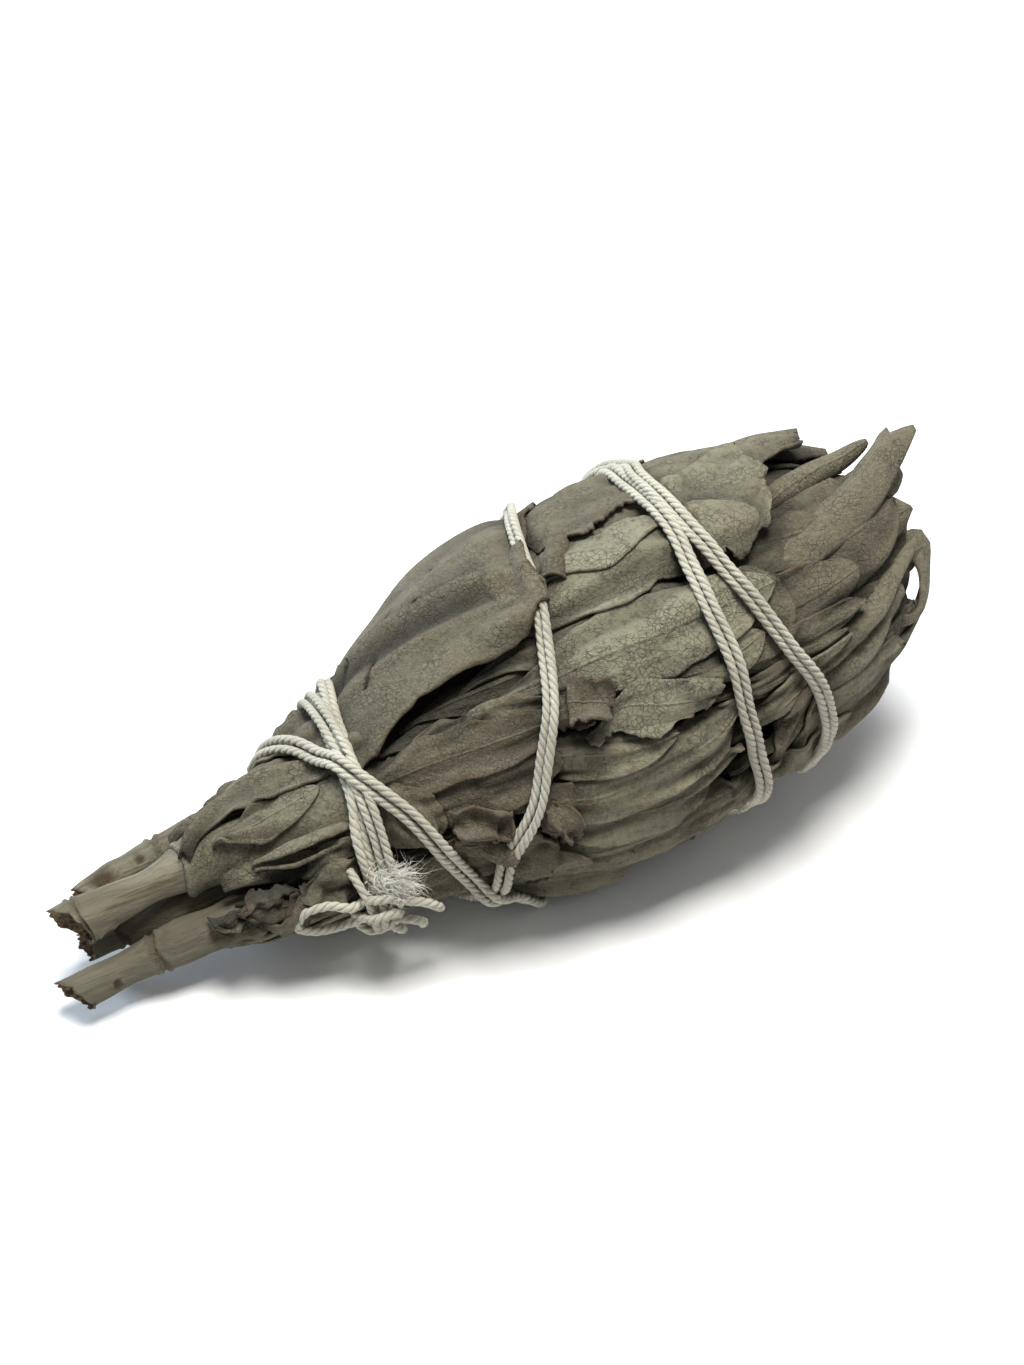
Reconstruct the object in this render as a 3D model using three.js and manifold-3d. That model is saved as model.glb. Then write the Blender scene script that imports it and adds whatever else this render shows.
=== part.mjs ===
// A sage bunch: four leafy stems of white sage laid together and bound with cotton twine.
// It lies on a surface, with its cut stems towards -X and its leaf tips towards +X.
// Millimetres, +Z up. The origin is under the middle of the bunch, on the surface.
import * as THREE from "three";
import { mergeVertices } from "three/addons/utils/BufferGeometryUtils.js";
import Module from "manifold-3d";

const wasm = await Module();
wasm.setup();

// The bunch as a whole. A place on it is u, the distance from the cut stems, phi, the angle round
// it in degrees (0 on top, 90 towards -Y, 180 underneath), and d, the height above its outline.
const LENGTH = 140;
const HALF_WIDTHS = [
  [0, 7.0], [12, 7.8], [24, 9.2], [36, 11.4], [48, 15.0], [58, 18.8], [68, 22.8], [78, 25.2],
  [88, 25.8], [98, 25.2], [108, 23.2], [116, 21.2], [124, 19.0], [130, 16.2], [136, 11.0], [140, 4.0],
];
const FLATTEN = 0.93; // height of a section over its width
const AXIS_AT_STEMS = 7.0; // height of the middle line at the cut stems
const AXIS_RISE = 16.2 / 92; // how fast it rises towards the head
const MIDDLE = [-2.08, 0.649]; // x and y of the middle of the whole bunch
const SETTLE = 3.0; // below this height the bunch gives way under its own weight
const SETTLE_DROP = 0.25; // and this is how far it flattens on the surface

// Packed inner leaves, in one quarter for each stem. They end this far under the outline, and
// narrow towards the neck and the head.
const CORE_DEPTH = 3.4;
const CORE_FROM = 22;
const CORE_TO = 127;
const NECK_TAPER = [3, 12]; // how much deeper at the end, and over what length
const HEAD_TAPER = [7, 20];
const CORE_STEPS = 9;
const CORE_SIDES = 12;
const QUARTER = 45;

// Leaves, twine and the room between pieces.
const LEAF_THICK = 0.8;
const LEAF_BED = 0.2; // how far a leaf beds into what it lies on
const LEAF_ROOT = 1.2; // how far a leaf's root is sunk into the packed leaves
const LEAF_STEP = 10;
const NARROWEST = 0.5;
const CLEAR = 0.3;
const TWINE_R = 0.68;
const TWINE_STEP = 6.6;
const GROOVE_DEPTH = 1.3; // how far the twine presses the leaves in
const GROOVE_WIDE = 2.6;

const DEG = Math.PI / 180;
const clamp = (x, low, high) => Math.min(Math.max(x, low), high);

// Height at x of a smooth curve through [x, y] points.
function smoothCurve(x, points) {
  const last = points.length - 1;
  const rise = (i) => (points[i + 1][1] - points[i][1]) / (points[i + 1][0] - points[i][0]);
  const slope = (i) => {
    if (i === 0) return rise(0);
    if (i === last) return rise(last - 1);
    const before = points[i][0] - points[i - 1][0];
    const after = points[i + 1][0] - points[i][0];
    return (rise(i - 1) * after + rise(i) * before) / (before + after);
  };
  let i = 0;
  while (i < last - 1 && points[i + 1][0] < x) i++;
  const h = points[i + 1][0] - points[i][0];
  const t = clamp((x - points[i][0]) / h, 0, 1);
  const a = t * t * (3 - 2 * t);
  const b = t * (1 - t);
  return points[i][1] * (1 - a) + points[i + 1][1] * a + h * b * (slope(i) * (1 - t) - slope(i + 1) * t);
}

const halfWidth = (u) => smoothCurve(clamp(u, 0, LENGTH), HALF_WIDTHS);
const coreDepth = (u) =>
  CORE_DEPTH +
  NECK_TAPER[0] * clamp(1 - (u - CORE_FROM) / NECK_TAPER[1], 0, 1) +
  HEAD_TAPER[0] * clamp(1 - (CORE_TO - u) / HEAD_TAPER[1], 0, 1);
const axisHeight = (u) => AXIS_AT_STEMS + u * AXIS_RISE;
const settled = (z) => (z < SETTLE ? SETTLE * Math.exp((z - SETTLE) / SETTLE) - SETTLE_DROP * (1 - z / SETTLE) : z);

// The place in space of u, phi and d.
function place(u, phi, d) {
  const w = halfWidth(u);
  const across = Math.max(w + d, 0.02 * w);
  const up = Math.max(FLATTEN * w + d, 0.02 * w);
  const z = axisHeight(u) + up * Math.cos(phi * DEG);
  return new THREE.Vector3(u - LENGTH / 2, -across * Math.sin(phi * DEG), z);
}

// The u, phi and d of a place in space.
function bunchPlace(p) {
  const u = p.x + LENGTH / 2;
  const up = p.z - axisHeight(u);
  const phi = Math.atan2(-p.y, up);
  const w = halfWidth(u) * (1 - (1 - FLATTEN) * Math.cos(phi) ** 2);
  return [u, phi / DEG, Math.hypot(p.y, up) - w];
}

// A repeatable number from 0 to 1 for the whole number n.
function chance(n) {
  const v = Math.sin(n * 12.9898 + 4.1414) * 43758.5453;
  return v - Math.floor(v);
}

// A smooth path through points that start with u and phi: its length, and at(share), a point on it.
function smoothPath(points) {
  const wide = points.reduce((sum, p) => sum + halfWidth(p[0]), 0) / points.length;
  const run = [0];
  for (let i = 1; i < points.length; i++) {
    const turn = (points[i][1] - points[i - 1][1]) * DEG * wide;
    run.push(run[i - 1] + Math.hypot(points[i][0] - points[i - 1][0], turn));
  }
  const curves = points[0].map((_, c) => points.map((p, i) => [run[i] / run[run.length - 1], p[c]]));
  return { long: run[run.length - 1], at: (share) => curves.map((curve) => smoothCurve(share, curve)) };
}

// The heights that are taken already, on a grid of u and phi, and the grooves that the twine presses.
const FIELD_LOW = -5;
const FIELD_STEP = 0.5;
const FIELD_ROWS = 321;
const taken = new Float64Array(FIELD_ROWS * 360).map((_, n) => {
  return -coreDepth(FIELD_LOW + Math.floor(n / 360) * FIELD_STEP);
});
const grooves = new Float64Array(FIELD_ROWS * 360);
const fieldRow = (u) => clamp((u - FIELD_LOW) / FIELD_STEP, 0, FIELD_ROWS - 1.001);
const fieldCell = (u, phi) => Math.round(fieldRow(u)) * 360 + ((Math.round(phi) % 360) + 360) % 360;

function read(grid, u, phi) {
  return grid[fieldCell(u, phi)];
}

// The highest point that is taken within reach of a place.
function highest(u, phi, reach) {
  const turn = reach / halfWidth(u) / DEG;
  let top = -LENGTH;
  for (let a = -2; a <= 2; a++) {
    for (let b = -2; b <= 2; b++) top = Math.max(top, read(taken, u + (a * reach) / 2, phi + (b * turn) / 2));
  }
  return top;
}

// Takes the room under a grid of [u, phi, d] points, filled in between them.
function takeGrid(grid, thick) {
  const fine = 14;
  for (let i = 0; i < grid.length - 1; i++) {
    for (let j = 0; j < grid[0].length - 1; j++) {
      for (let a = 0; a <= fine; a++) {
        for (let b = 0; b <= fine; b++) {
          const s = a / fine;
          const t = b / fine;
          const [u, phi, d] = [0, 1, 2].map(
            (c) =>
              (grid[i][j][c] * (1 - s) + grid[i + 1][j][c] * s) * (1 - t) +
              (grid[i][j + 1][c] * (1 - s) + grid[i + 1][j + 1][c] * s) * t,
          );
          const cell = fieldCell(u, phi);
          taken[cell] = Math.max(taken[cell], d + thick);
        }
      }
    }
  }
}

function pressGroove(points) {
  const { at } = smoothPath(points);
  const steps = 400;
  const reach = 2.2 * GROOVE_WIDE;
  for (let k = 0; k <= steps; k++) {
    const [u, phi] = at(k / steps);
    const w = halfWidth(u);
    const span = Math.ceil(reach / (w * DEG));
    for (let du = -reach; du <= reach; du += FIELD_STEP) {
      for (let dp = -span; dp <= span; dp++) {
        const cell = fieldCell(u + du, phi + dp);
        const depth = GROOVE_DEPTH * Math.exp(-(du ** 2 + (dp * DEG * w) ** 2) / GROOVE_WIDE ** 2);
        grooves[cell] = Math.max(grooves[cell], depth);
      }
    }
  }
}

// A closed geometry as a solid that can be joined and cut, and back.
function solidOf(geometry) {
  geometry.deleteAttribute("normal");
  geometry.deleteAttribute("uv");
  const merged = mergeVertices(geometry, 1e-5);
  const vertProperties = merged.attributes.position.array;
  const triVerts = new Uint32Array(merged.index.array);
  return new wasm.Manifold(new wasm.Mesh({ numProp: 3, vertProperties, triVerts }));
}

function geometryOf(solid) {
  const mesh = solid.getMesh();
  const geometry = new THREE.BufferGeometry();
  geometry.setAttribute("position", new THREE.BufferAttribute(mesh.vertProperties, 3));
  geometry.setIndex(new THREE.BufferAttribute(mesh.triVerts, 1));
  return geometry;
}

// The one piece that holds together: the largest of a solid's bodies.
function largestBody(solid) {
  return solid.decompose().reduce((a, b) => (a.volume() > b.volume() ? a : b));
}

// A closed rod of rings: at(i, k) is corner k of ring i, and at(i, null) the middle of an end.
function rod(steps, corners, at) {
  const geometry = new THREE.CylinderGeometry(1, 1, steps, corners, steps);
  const p = geometry.attributes.position;
  for (let n = 0; n < p.count; n++) {
    const i = Math.round(p.getY(n) + steps / 2);
    const turn = Math.atan2(p.getX(n), p.getZ(n)) / (2 * Math.PI);
    const k = (Math.round(turn * corners) + corners) % corners;
    const v = at(i, Math.hypot(p.getX(n), p.getZ(n)) > 0.5 ? k : null);
    p.setXYZ(n, v.x, v.y, v.z);
  }
  return solidOf(geometry);
}

// A rod along points: outward(i) is its outer side at point i, outline(i) its section's corners as
// [across, out] round from the outer side. A rod that comes round again is joined from parts, each
// of at most the given number of steps, and it is pressed flat at its lowest.
function rodAlong(points, outward, outline, longest = points.length - 1, lowest = -LENGTH) {
  const frames = points.map((point, i) => {
    const ahead = points[Math.min(i + 1, points.length - 1)];
    const behind = points[Math.max(i - 1, 0)];
    const along = ahead.clone().sub(behind).normalize();
    const side = along.clone().cross(outward(i)).normalize();
    return { point, side, out: side.clone().cross(along), section: outline(i) };
  });
  const parts = [];
  for (let from = 0; from < points.length - 1; from += longest - 1) {
    const steps = Math.min(longest, points.length - 1 - from);
    const part = rod(steps, frames[0].section.length, (i, k) => {
      const { point, side, out, section } = frames[from + i];
      if (k === null) return point;
      const corner = point.clone().addScaledVector(side, section[k][0]).addScaledVector(out, section[k][1]);
      corner.z = Math.max(corner.z, lowest);
      return corner;
    });
    parts.push(part);
    if (from + steps === points.length - 1) break;
  }
  return parts.reduce((all, part) => all.add(part));
}

function roundOutline(r, corners) {
  return Array.from({ length: corners }, (_, k) => {
    const a = (2 * Math.PI * k) / corners;
    return [r * Math.sin(a), r * Math.cos(a)];
  });
}

// The four leafy stems. Each has a quarter of the bunch, whose middle is at phi = middle, and a
// stem through x, y, z points from its cut end, with its radius there.
const STEMS = [
  {
    name: "leafy_stem_top", colour: 0x89877a, middle: 0,
    line: [[-69.1, 1.8, 11.7, 3.2], [-66.4, 1.9, 11.9, 3.3], [-50.5, 2.7, 13.1, 3.25], [-49.3, 2.8, 13.2, 3.7],
      [-34, 1.8, 16.5, 3.6], [-15, 0, 21, 3.0]],
  },
  {
    name: "leafy_stem_front", colour: 0x85816c, middle: 90,
    line: [[-71.3, -4, 4.4, 2.7], [-57.4, -4, 6.3, 2.8], [-55.8, -4.1, 6.6, 3.1], [-48, -4.8, 7.6, 3.1],
      [-45, -5.3, 8, 3.5], [-41, -6, 8.5, 3.2], [-15, -9, 12, 2.6]],
  },
  {
    name: "leafy_stem_back", colour: 0x807b69, middle: 270,
    line: [[-61.4, 7.2, 8.2, 2.5], [-57.5, 7.8, 8.8, 2.8], [-47.4, 9.1, 10.3, 2.6], [-30, 10.5, 12.6, 2.6],
      [-12, 11, 15, 2.4]],
  },
  {
    name: "leafy_stem_under", colour: 0x7b7866, middle: 180,
    line: [[-66, 4, 3.0, 1.9], [-49.5, 2.6, 5.4, 2.0], [-30, 1.5, 8, 2.2], [-12, 0, 10.5, 2.2]],
  },
];
const STEM_CORNERS = 8;
const STEM_STEPS = 10;

function stemSolid(line, grow) {
  const start = line[0][0];
  const run = line[line.length - 1][0] - start;
  const curves = [1, 2, 3].map((c) => line.map((p) => [(p[0] - start) / run, p[c]]));
  const shares = Array.from({ length: STEM_STEPS + 1 }, (_, i) => (i / STEM_STEPS) ** 1.3);
  const radii = shares.map((s) => smoothCurve(s, curves[2]) + grow);
  const points = shares.map((s, i) => {
    const x = start + run * s - (i === 0 ? grow : 0);
    return new THREE.Vector3(x, smoothCurve(s, curves[0]), smoothCurve(s, curves[1]));
  });
  const up = new THREE.Vector3(0, 0, 1);
  return rodAlong(points, () => up, (i) => roundOutline(radii[i], STEM_CORNERS));
}

// Takes the room of a stem, so that what is laid on it follows it.
function takeStem(line) {
  const start = line[0][0];
  const run = line[line.length - 1][0] - start;
  const curves = [1, 2, 3].map((c) => line.map((p) => [(p[0] - start) / run, p[c]]));
  for (let s = 0; s <= 1; s += 0.004) {
    const [y, z, r] = curves.map((curve) => smoothCurve(s, curve));
    for (let a = 0; a < 360; a += 4) {
      const side = new THREE.Vector3(start + run * s, y + r * Math.sin(a * DEG), z + r * Math.cos(a * DEG));
      const [u, phi, d] = bunchPlace(side);
      const cell = fieldCell(u, phi);
      taken[cell] = Math.max(taken[cell], d);
    }
  }
}

// Keeps what lies in a stem's own quarter, half a gap clear of its neighbours.
function quarterOf(solid, middle) {
  const onAxis = new THREE.Vector3(-LENGTH / 2, 0, AXIS_AT_STEMS);
  for (const side of [-1, 1]) {
    const phi = (middle + side * QUARTER) * DEG;
    const along = new THREE.Vector3(1, 0, AXIS_RISE);
    const outward = new THREE.Vector3(0, -Math.sin(phi), FLATTEN * Math.cos(phi));
    const normal = along.cross(outward).normalize().multiplyScalar(-side);
    solid = solid.trimByPlane(normal.toArray(), normal.dot(onAxis) + CLEAR / 2);
  }
  return solid;
}

function packedLeaves() {
  return rod(CORE_STEPS, CORE_SIDES, (i, k) => {
    const u = CORE_FROM + ((CORE_TO - CORE_FROM) * i) / CORE_STEPS;
    if (k === null) return new THREE.Vector3(u - LENGTH / 2, 0, axisHeight(u));
    return place(u, (360 * k) / CORE_SIDES, -coreDepth(u));
  });
}

// Half-width of a sage leaf at share s of its length, 1 where it is widest.
function leafOutline(s, petiole, widest, blunt) {
  const up = clamp(s / widest, 0, 1);
  const down = clamp((s - widest) / (1 - widest), 0, 1);
  const base = petiole + (1 - petiole) * up * up * (3 - 2 * up);
  return base * Math.max(1 - down ** (1.6 + blunt), 0) ** (0.75 - 0.25 * blunt);
}

// How a leaf lies: crown arches it, fold raises its middle, wave ripples it, ragged tears its edges,
// tip lifts its tip, left and right curl its edges up. petiole, widest and blunt shape its outline.
const STYLE = {
  crown: 0.9, fold: 0, wave: 0.35, ragged: 0, tip: 0, left: 0, right: 0,
  petiole: 0.35, widest: 0.45, blunt: 0.5,
};
const RAGS = [[9, 0.5], [17, 0.3], [31, 0.2]]; // how often and how far a torn edge wanders
const WIDE_LEAF = 14.2;

// Lays a leaf along its path over what is there already: a grid of [u, phi, d] points.
function layLeaf(n, path, width, height, style) {
  const o = { ...STYLE, ...style };
  const { at, long } = smoothPath(path);
  const sides = width > WIDE_LEAF ? 4 : 2;
  const steps = clamp(Math.round(long / LEAF_STEP), 4, 6);
  const grid = [];
  for (let i = 0; i <= steps; i++) {
    const s = i / steps;
    const [u, phi] = at(s);
    const w = halfWidth(u) + height;
    const [u0, phi0] = at(clamp(s - 0.02, 0, 1));
    const [u1, phi1] = at(clamp(s + 0.02, 0, 1));
    const run = Math.hypot(u1 - u0, (phi1 - phi0) * DEG * w);
    const du = (u1 - u0) / run;
    const dp = ((phi1 - phi0) * DEG * w) / run;
    const half = Math.max((width / 2) * leafOutline(s, o.petiole, o.widest, o.blunt), NARROWEST);
    grid.push(
      Array.from({ length: sides + 1 }, (_, j) => {
        const t = (2 * j) / sides - 1;
        const torn = RAGS.reduce((sum, [often, far], k) => {
          const beat = often * (1 + 0.4 * chance(n + k)) * s * Math.PI + 6.28 * chance(n * 3 + k);
          return sum + far * Math.sin(beat + Math.sign(t) * 2 * chance(n + 7));
        }, 0);
        const reach = half * t * (1 + o.ragged * torn * Math.abs(t) ** 4);
        const uu = Math.min(u - reach * dp, LENGTH);
        const pp = phi + (reach * du) / w / DEG;
        const want =
          height + o.crown * (1 - t * t) + o.fold * Math.exp(-((t / 0.16) ** 2)) +
          o.left * clamp(-t, 0, 1) ** 2.5 + o.right * clamp(t, 0, 1) ** 2.5 +
          o.tip * clamp((s - 0.6) / 0.4, 0, 1) ** 2 +
          o.wave * Math.sin((2.2 + 2 * chance(n)) * Math.PI * s + 6.28 * chance(n + 1) + 1.3 * t) -
          read(grooves, uu, pp);
        return [uu, pp, Math.max(want, highest(uu, pp, 0.8) - LEAF_BED)];
      }),
    );
  }
  return grid;
}

// Whether a place is well inside a stem's quarter, over its packed leaves.
function inQuarter([u, phi], middle) {
  const off = Math.abs(((phi - middle + 540) % 360) - 180);
  const room = (QUARTER - off) * DEG * (halfWidth(u) - coreDepth(u));
  return room > 1 && u > CORE_FROM + 1 && u < CORE_TO - 4;
}

// Which points of a leaf can be rooted in a stem's packed leaves: they and their neighbours lie there.
function rooted(grid, middle) {
  const inside = grid.map((row) => row.map((p) => inQuarter(p, middle)));
  return inside.map((row, i) =>
    row.map((_, j) =>
      [-1, 0, 1].every((a) => [-1, 0, 1].every((b) => (inside[i + a]?.[j + b] ?? inside[i][j]) && i < grid.length - 1)),
    ),
  );
}

// A leaf as a solid: a blade, sunk into the packed leaves where it is rooted. thicker and wider make
// the room that it needs.
function leafSolid(grid, roots, thicker = 0, wider = 0) {
  const steps = grid.length - 1;
  const sides = grid[0].length - 1;
  const box = new THREE.BoxGeometry(1, 1, 1, steps, sides, 1);
  const under = box.groups[5];
  const index = box.index.array;
  for (let k = under.start; k < under.start + under.count; k += 6) {
    const [a, b, d, , c] = index.slice(k, k + 6);
    index.set([a, b, c, a, c, d], k);
  }
  const p = box.attributes.position;
  for (let n = 0; n < p.count; n++) {
    const i = Math.round((p.getX(n) + 0.5) * steps);
    const j = Math.round((0.5 - p.getY(n)) * sides);
    const [u, phi, d] = grid[i][j];
    const [uMid, phiMid] = grid[i][sides / 2];
    const w = halfWidth(u) + d;
    const across = Math.hypot(u - uMid, (phi - phiMid) * DEG * w);
    const outwards = across > 0 ? wider / across : 0;
    const [uBefore, phiBefore] = grid[Math.max(i - 1, 0)][sides / 2];
    const [uAfter, phiAfter] = grid[Math.min(i + 1, steps)][sides / 2];
    const run = Math.hypot(uAfter - uBefore, (phiAfter - phiBefore) * DEG * w);
    const longer = (i === 0 ? -wider : i === steps ? wider : 0) / run;
    const bottom = roots[i][j] ? Math.min(d, -coreDepth(u) - LEAF_ROOT) : d;
    const height = p.getZ(n) > 0 ? d + LEAF_THICK + thicker : bottom - thicker;
    const uu = u + (u - uMid) * outwards + (uAfter - uBefore) * longer;
    const pp = phi + (phi - phiMid) * outwards + (phiAfter - phiBefore) * longer;
    const v = place(uu, pp, height);
    p.setXYZ(n, v.x, v.y, settled(v.z));
  }
  return solidOf(box);
}

// The leaves, in the order that they lie on each other: path of [u, phi], width, height and style.
// Leaves on the sides and underneath lie in three tiers: from u, length, count and height.
const TIERS = [
  [27, 52, 5, -1.6],
  [52, 56, 5, -1.2],
  [80, 48, 5, -0.7],
];
function farLeaves() {
  const rows = [];
  let n = 300;
  TIERS.forEach(([from, long, count, height], tier) => {
    for (let k = 0; k < count; k++) {
      n += 1;
      const phi = 128 + (172 * (k + 0.5 * (tier % 2))) / count + 8 * (chance(n) - 0.5);
      const a = from + 9 * (chance(n + 50) - 0.5);
      const b = Math.min(a + long * (0.8 + 0.35 * chance(n + 90)), 134 - 5 * chance(n));
      const turn = 24 * (chance(n + 20) - 0.5);
      const style = { crown: 1.0, wave: 0.5, ragged: 0.15, fold: 0.5 - chance(n + 5), tip: 1.5 * chance(n + 8) };
      rows.push([[[a, phi], [(a + b) / 2, phi + turn * 0.4], [b, phi + turn]], 12 + 5 * chance(n + 30), height, style]);
    }
  });
  return rows;
}

// Inner leaves that close the head.
const INNER_LEAVES = [0, 60, 120, 180, 240, 300].map((phi) => [
  [[96, phi + 10], [112, phi + 16], [128 + 5 * chance(phi), phi + 20]], 13, -6.5, { crown: 2, tip: 1.5 },
]);

const HEAD_LEAVES = [
  [[[98, -60], [116, -58], [131, -50]], 14, -2.0],
  [[[96, 100], [114, 104], [132, 100]], 15, -2.0],
  [[[94, 98], [112, 96], [126, 102], [135, 97]], 14, -0.8, { crown: 1.0, ragged: 0.15 }],
  [[[104, 14], [120, 12], [136, 4]], 9, -1.6, { blunt: 1.0 }],
  [[[84, 30], [102, 34], [114, 36], [128, 31]], 15, -1.6, { crown: 0.5, blunt: 0.9, wave: 0.2 }],
  [[[78, 42], [95, 46], [105, 50], [119, 54]], 11, -1.2, { blunt: 0.7 }],
  [[[98, 76], [110, 74], [122, 66]], 6.5, -0.4, { crown: 1.4 }],
  [[[96, 82], [110, 82], [124, 76]], 7, -0.4, { crown: 1.4 }],
  [[[88, 104], [104, 106], [116, 112]], 9, -0.6, { crown: 1.0 }],
  [[[96, 22], [107, 24], [118, 17], [135, -3]], 8.5, 0.0, { crown: 1.9, blunt: 0.1 }],
  [[[92, -34], [104, -38], [116, -42], [128, -24]], 17, -0.6, { crown: 0.8, ragged: 0.12 }],
  [[[98, -60], [110, -66], [124, -60]], 14, -0.8, { ragged: 0.12 }],
  [[[86, -10], [98, -10], [105, -1], [112, 5]], 15, 0.1, { crown: 0.6, ragged: 0.3, tip: 0.8 }],
];

const MIDDLE_LEAVES = [
  [[[50, 24], [61, 25], [72, 27], [82, 32]], 9, -1.8],
  [[[48, 12], [57, 17], [64, 20], [74, 22], [84, 26]], 9, -1.6],
  [[[62, 38], [76, 42], [89, 47], [100, 50]], 9, -1.0, { crown: 1.0 }],
  [[[60, 16], [74, 19], [85, 24], [98, 27]], 10, -1.0, { crown: 0.8 }],
  [[[52, 76], [66, 79], [77, 86], [93, 88]], 10, -1.0],
  [[[48, 112], [64, 115], [80, 118], [95, 116]], 13, -1.0, { ragged: 0.2 }],
  [[[50, 100], [63, 102], [76, 98], [92, 102]], 9, -0.4, { crown: 1.0, fold: 0.5 }],
  [[[54, 62], [67, 65], [78, 67], [88, 67], [98, 61]], 11.5, 0.0, { crown: 1.0, ragged: 0.1 }],
  [[[56, 50], [68, 53], [75, 57], [84, 61]], 9, -0.4],
  [[[66, 6], [76, 8], [90, 6], [105, 14]], 15, -0.3, { fold: -0.35, blunt: 0.8 }],
  [[[60, 24], [73, 28], [83, 34], [93, 36], [102, 31]], 10.5, 0.2, { crown: 1.2, ragged: 0.08 }],
  [[[72, 53], [80, 53], [92, 58]], 8.5, 0.4, { crown: 0.4, ragged: 0.15, petiole: 0.15, widest: 0.6 }],
  [[[66, -62], [76, -58], [86, -46]], 13, -0.8, { crown: 1.0 }],
  [[[73, -34], [83, -28], [92, -22], [99, -19]], 13, 0.1, { crown: 0.7, ragged: 0.25 }],
  [[[38, 100], [48, 100], [58, 98], [70, 98]], 11, -0.8],
  [[[60, 60], [66, 76], [66, 90], [62, 104]], 8, -0.1, { crown: 0.5, ragged: 0.4 }],
  [[[46, 22], [54, 25], [62, 29], [70, 36], [76, 43]], 6.5, 0.2, { crown: 0.5, wave: 0.9, ragged: 0.3 }],
  [[[40, 30], [48, 35], [58, 41], [71, 41]], 12, 0.3, { crown: 1.2, fold: -0.7, ragged: 0.12 }],
];

const NECK_LEAVES = [
  [[[23, 10], [30, 24], [42, 44], [52, 52]], 12, -0.8, { crown: 1.0, petiole: 0.5, widest: 0.5 }],
  [[[22, -14], [28, -16], [35, -10], [46, 2]], 9, -0.2, { crown: 1.1, petiole: 0.3 }],
  [[[30, 60], [36, 60], [44, 66]], 6, -0.2, { crown: 0.8 }],
  [[[33, -34], [40, -26], [48, -14]], 9, -0.6, { crown: 0.8 }],
  [[[26, 84], [34, 88], [44, 90]], 8, -0.6, { crown: 0.8 }],
  [[[26, -60], [34, -58], [46, -50]], 9, -0.8, { crown: 0.8 }],
];

// Two leaves lie over the twine: a flap over the neck tie, and the broad one whose tip covers a turn.
const NECK_FLAP = [[[39, 28], [44, 50], [48, 66], [53, 80]], 8.5, 0.2, { fold: -0.5, petiole: 0.5, ragged: 0.1 }];
const BROAD_LEAF = [
  [[46, -4], [54, -14], [64, -20], [72, -10], [79, 8]],
  22, -0.2, { crown: 1.2, fold: 0.5, ragged: 0.04, widest: 0.4, blunt: 0.2 },
];

// Leaves at the tip that have dried into rolls: path of [u, phi, d] and the roll's radius.
const ROLLS = [
  { middle: 0, path: [[104, -8, -4], [118, -14, 0], [127, -18, 3.5], [134, -22, 8.5]], r: 1.2 },
  { middle: 0, path: [[106, 40, -4], [122, 38, 0], [133, 33, 2.5], [137, 26, 5]], r: 1.5 },
  { middle: 90, path: [[102, 70, -4], [118, 66, -0.5], [130, 58, 0], [136, 50, 2]], r: 1.4 },
  { middle: 90, path: [[106, 84, -6], [124, 80, -1], [133, 73, 1], [137, 74, 4.5], [134, 88, 5.5], [127, 98, 1]], r: 1.2 },
];
const ROLL_STEPS = 9;
const ROLL_CORNERS = 6;

function rollSolid(path, r, grow) {
  const { at } = smoothPath(path);
  const shares = Array.from({ length: ROLL_STEPS + 1 }, (_, i) => i / ROLL_STEPS);
  const places = shares.map((s) => at(s));
  const points = places.map(([u, phi, d]) => place(u, phi, d));
  const out = places.map(([u, phi, d], i) => place(u, phi, d + 1).sub(points[i]).normalize());
  return rodAlong(points, (i) => out[i], (i) => roundOutline(r * (1 - 0.45 * shares[i] ** 2) + grow, ROLL_CORNERS));
}

// The twine is one doubled cord. Each stretch starts and ends in the knot, and phi counts its turns.
const TIE = [
  [42, 100], [43, 160], [45, 230], [46.5, 305], [44, 350], [42.3, 391], [41, 420], [42, 460],
  [44, 520], [47, 590], [48.7, 664], [45.2, 706], [43.5, 738], [41.2, 770], [42, 820],
];
const LOW_TURNS = [
  [43, 1905], [43.5, 1800], [45.5, 1740], [50, 1680], [56, 1610], [59.4, 1553], [60.3, 1523],
  [63.8, 1509], [66.7, 1494], [70, 1476], [72, 1464], [73.8, 1451], [76.4, 1432], [78.3, 1418],
  [83.4, 1390], [85, 1375], [92, 1310], [98, 1240], [99.1, 1190], [97.5, 1162], [96.4, 1147],
  [96.1, 1130], [95.5, 1112], [96.5, 1092], [96.7, 1068], [98.2, 1034], [101, 1000], [108, 930], [112, 860],
];
const HIGH_TURNS = [
  [112, 860], [110.7, 818], [108.2, 792], [105.1, 775], [101.6, 751], [99.1, 729], [98.7, 703],
  [101.3, 676], [99, 660], [90, 600], [76, 540], [64.5, 491], [57, 470], [51.1, 437], [47.3, 411],
  [42.8, 384], [39.4, 345], [36, 306], [38, 250], [41, 180], [43, 105],
];
const STRETCH = 0.25; // how far pulled twine sinks into what it lies on
const TAUT_PASSES = 12;
const LIFT = 0.1; // it stays clear of the surface
const TWINE_PART = 9; // steps that are less than a turn anywhere

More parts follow.
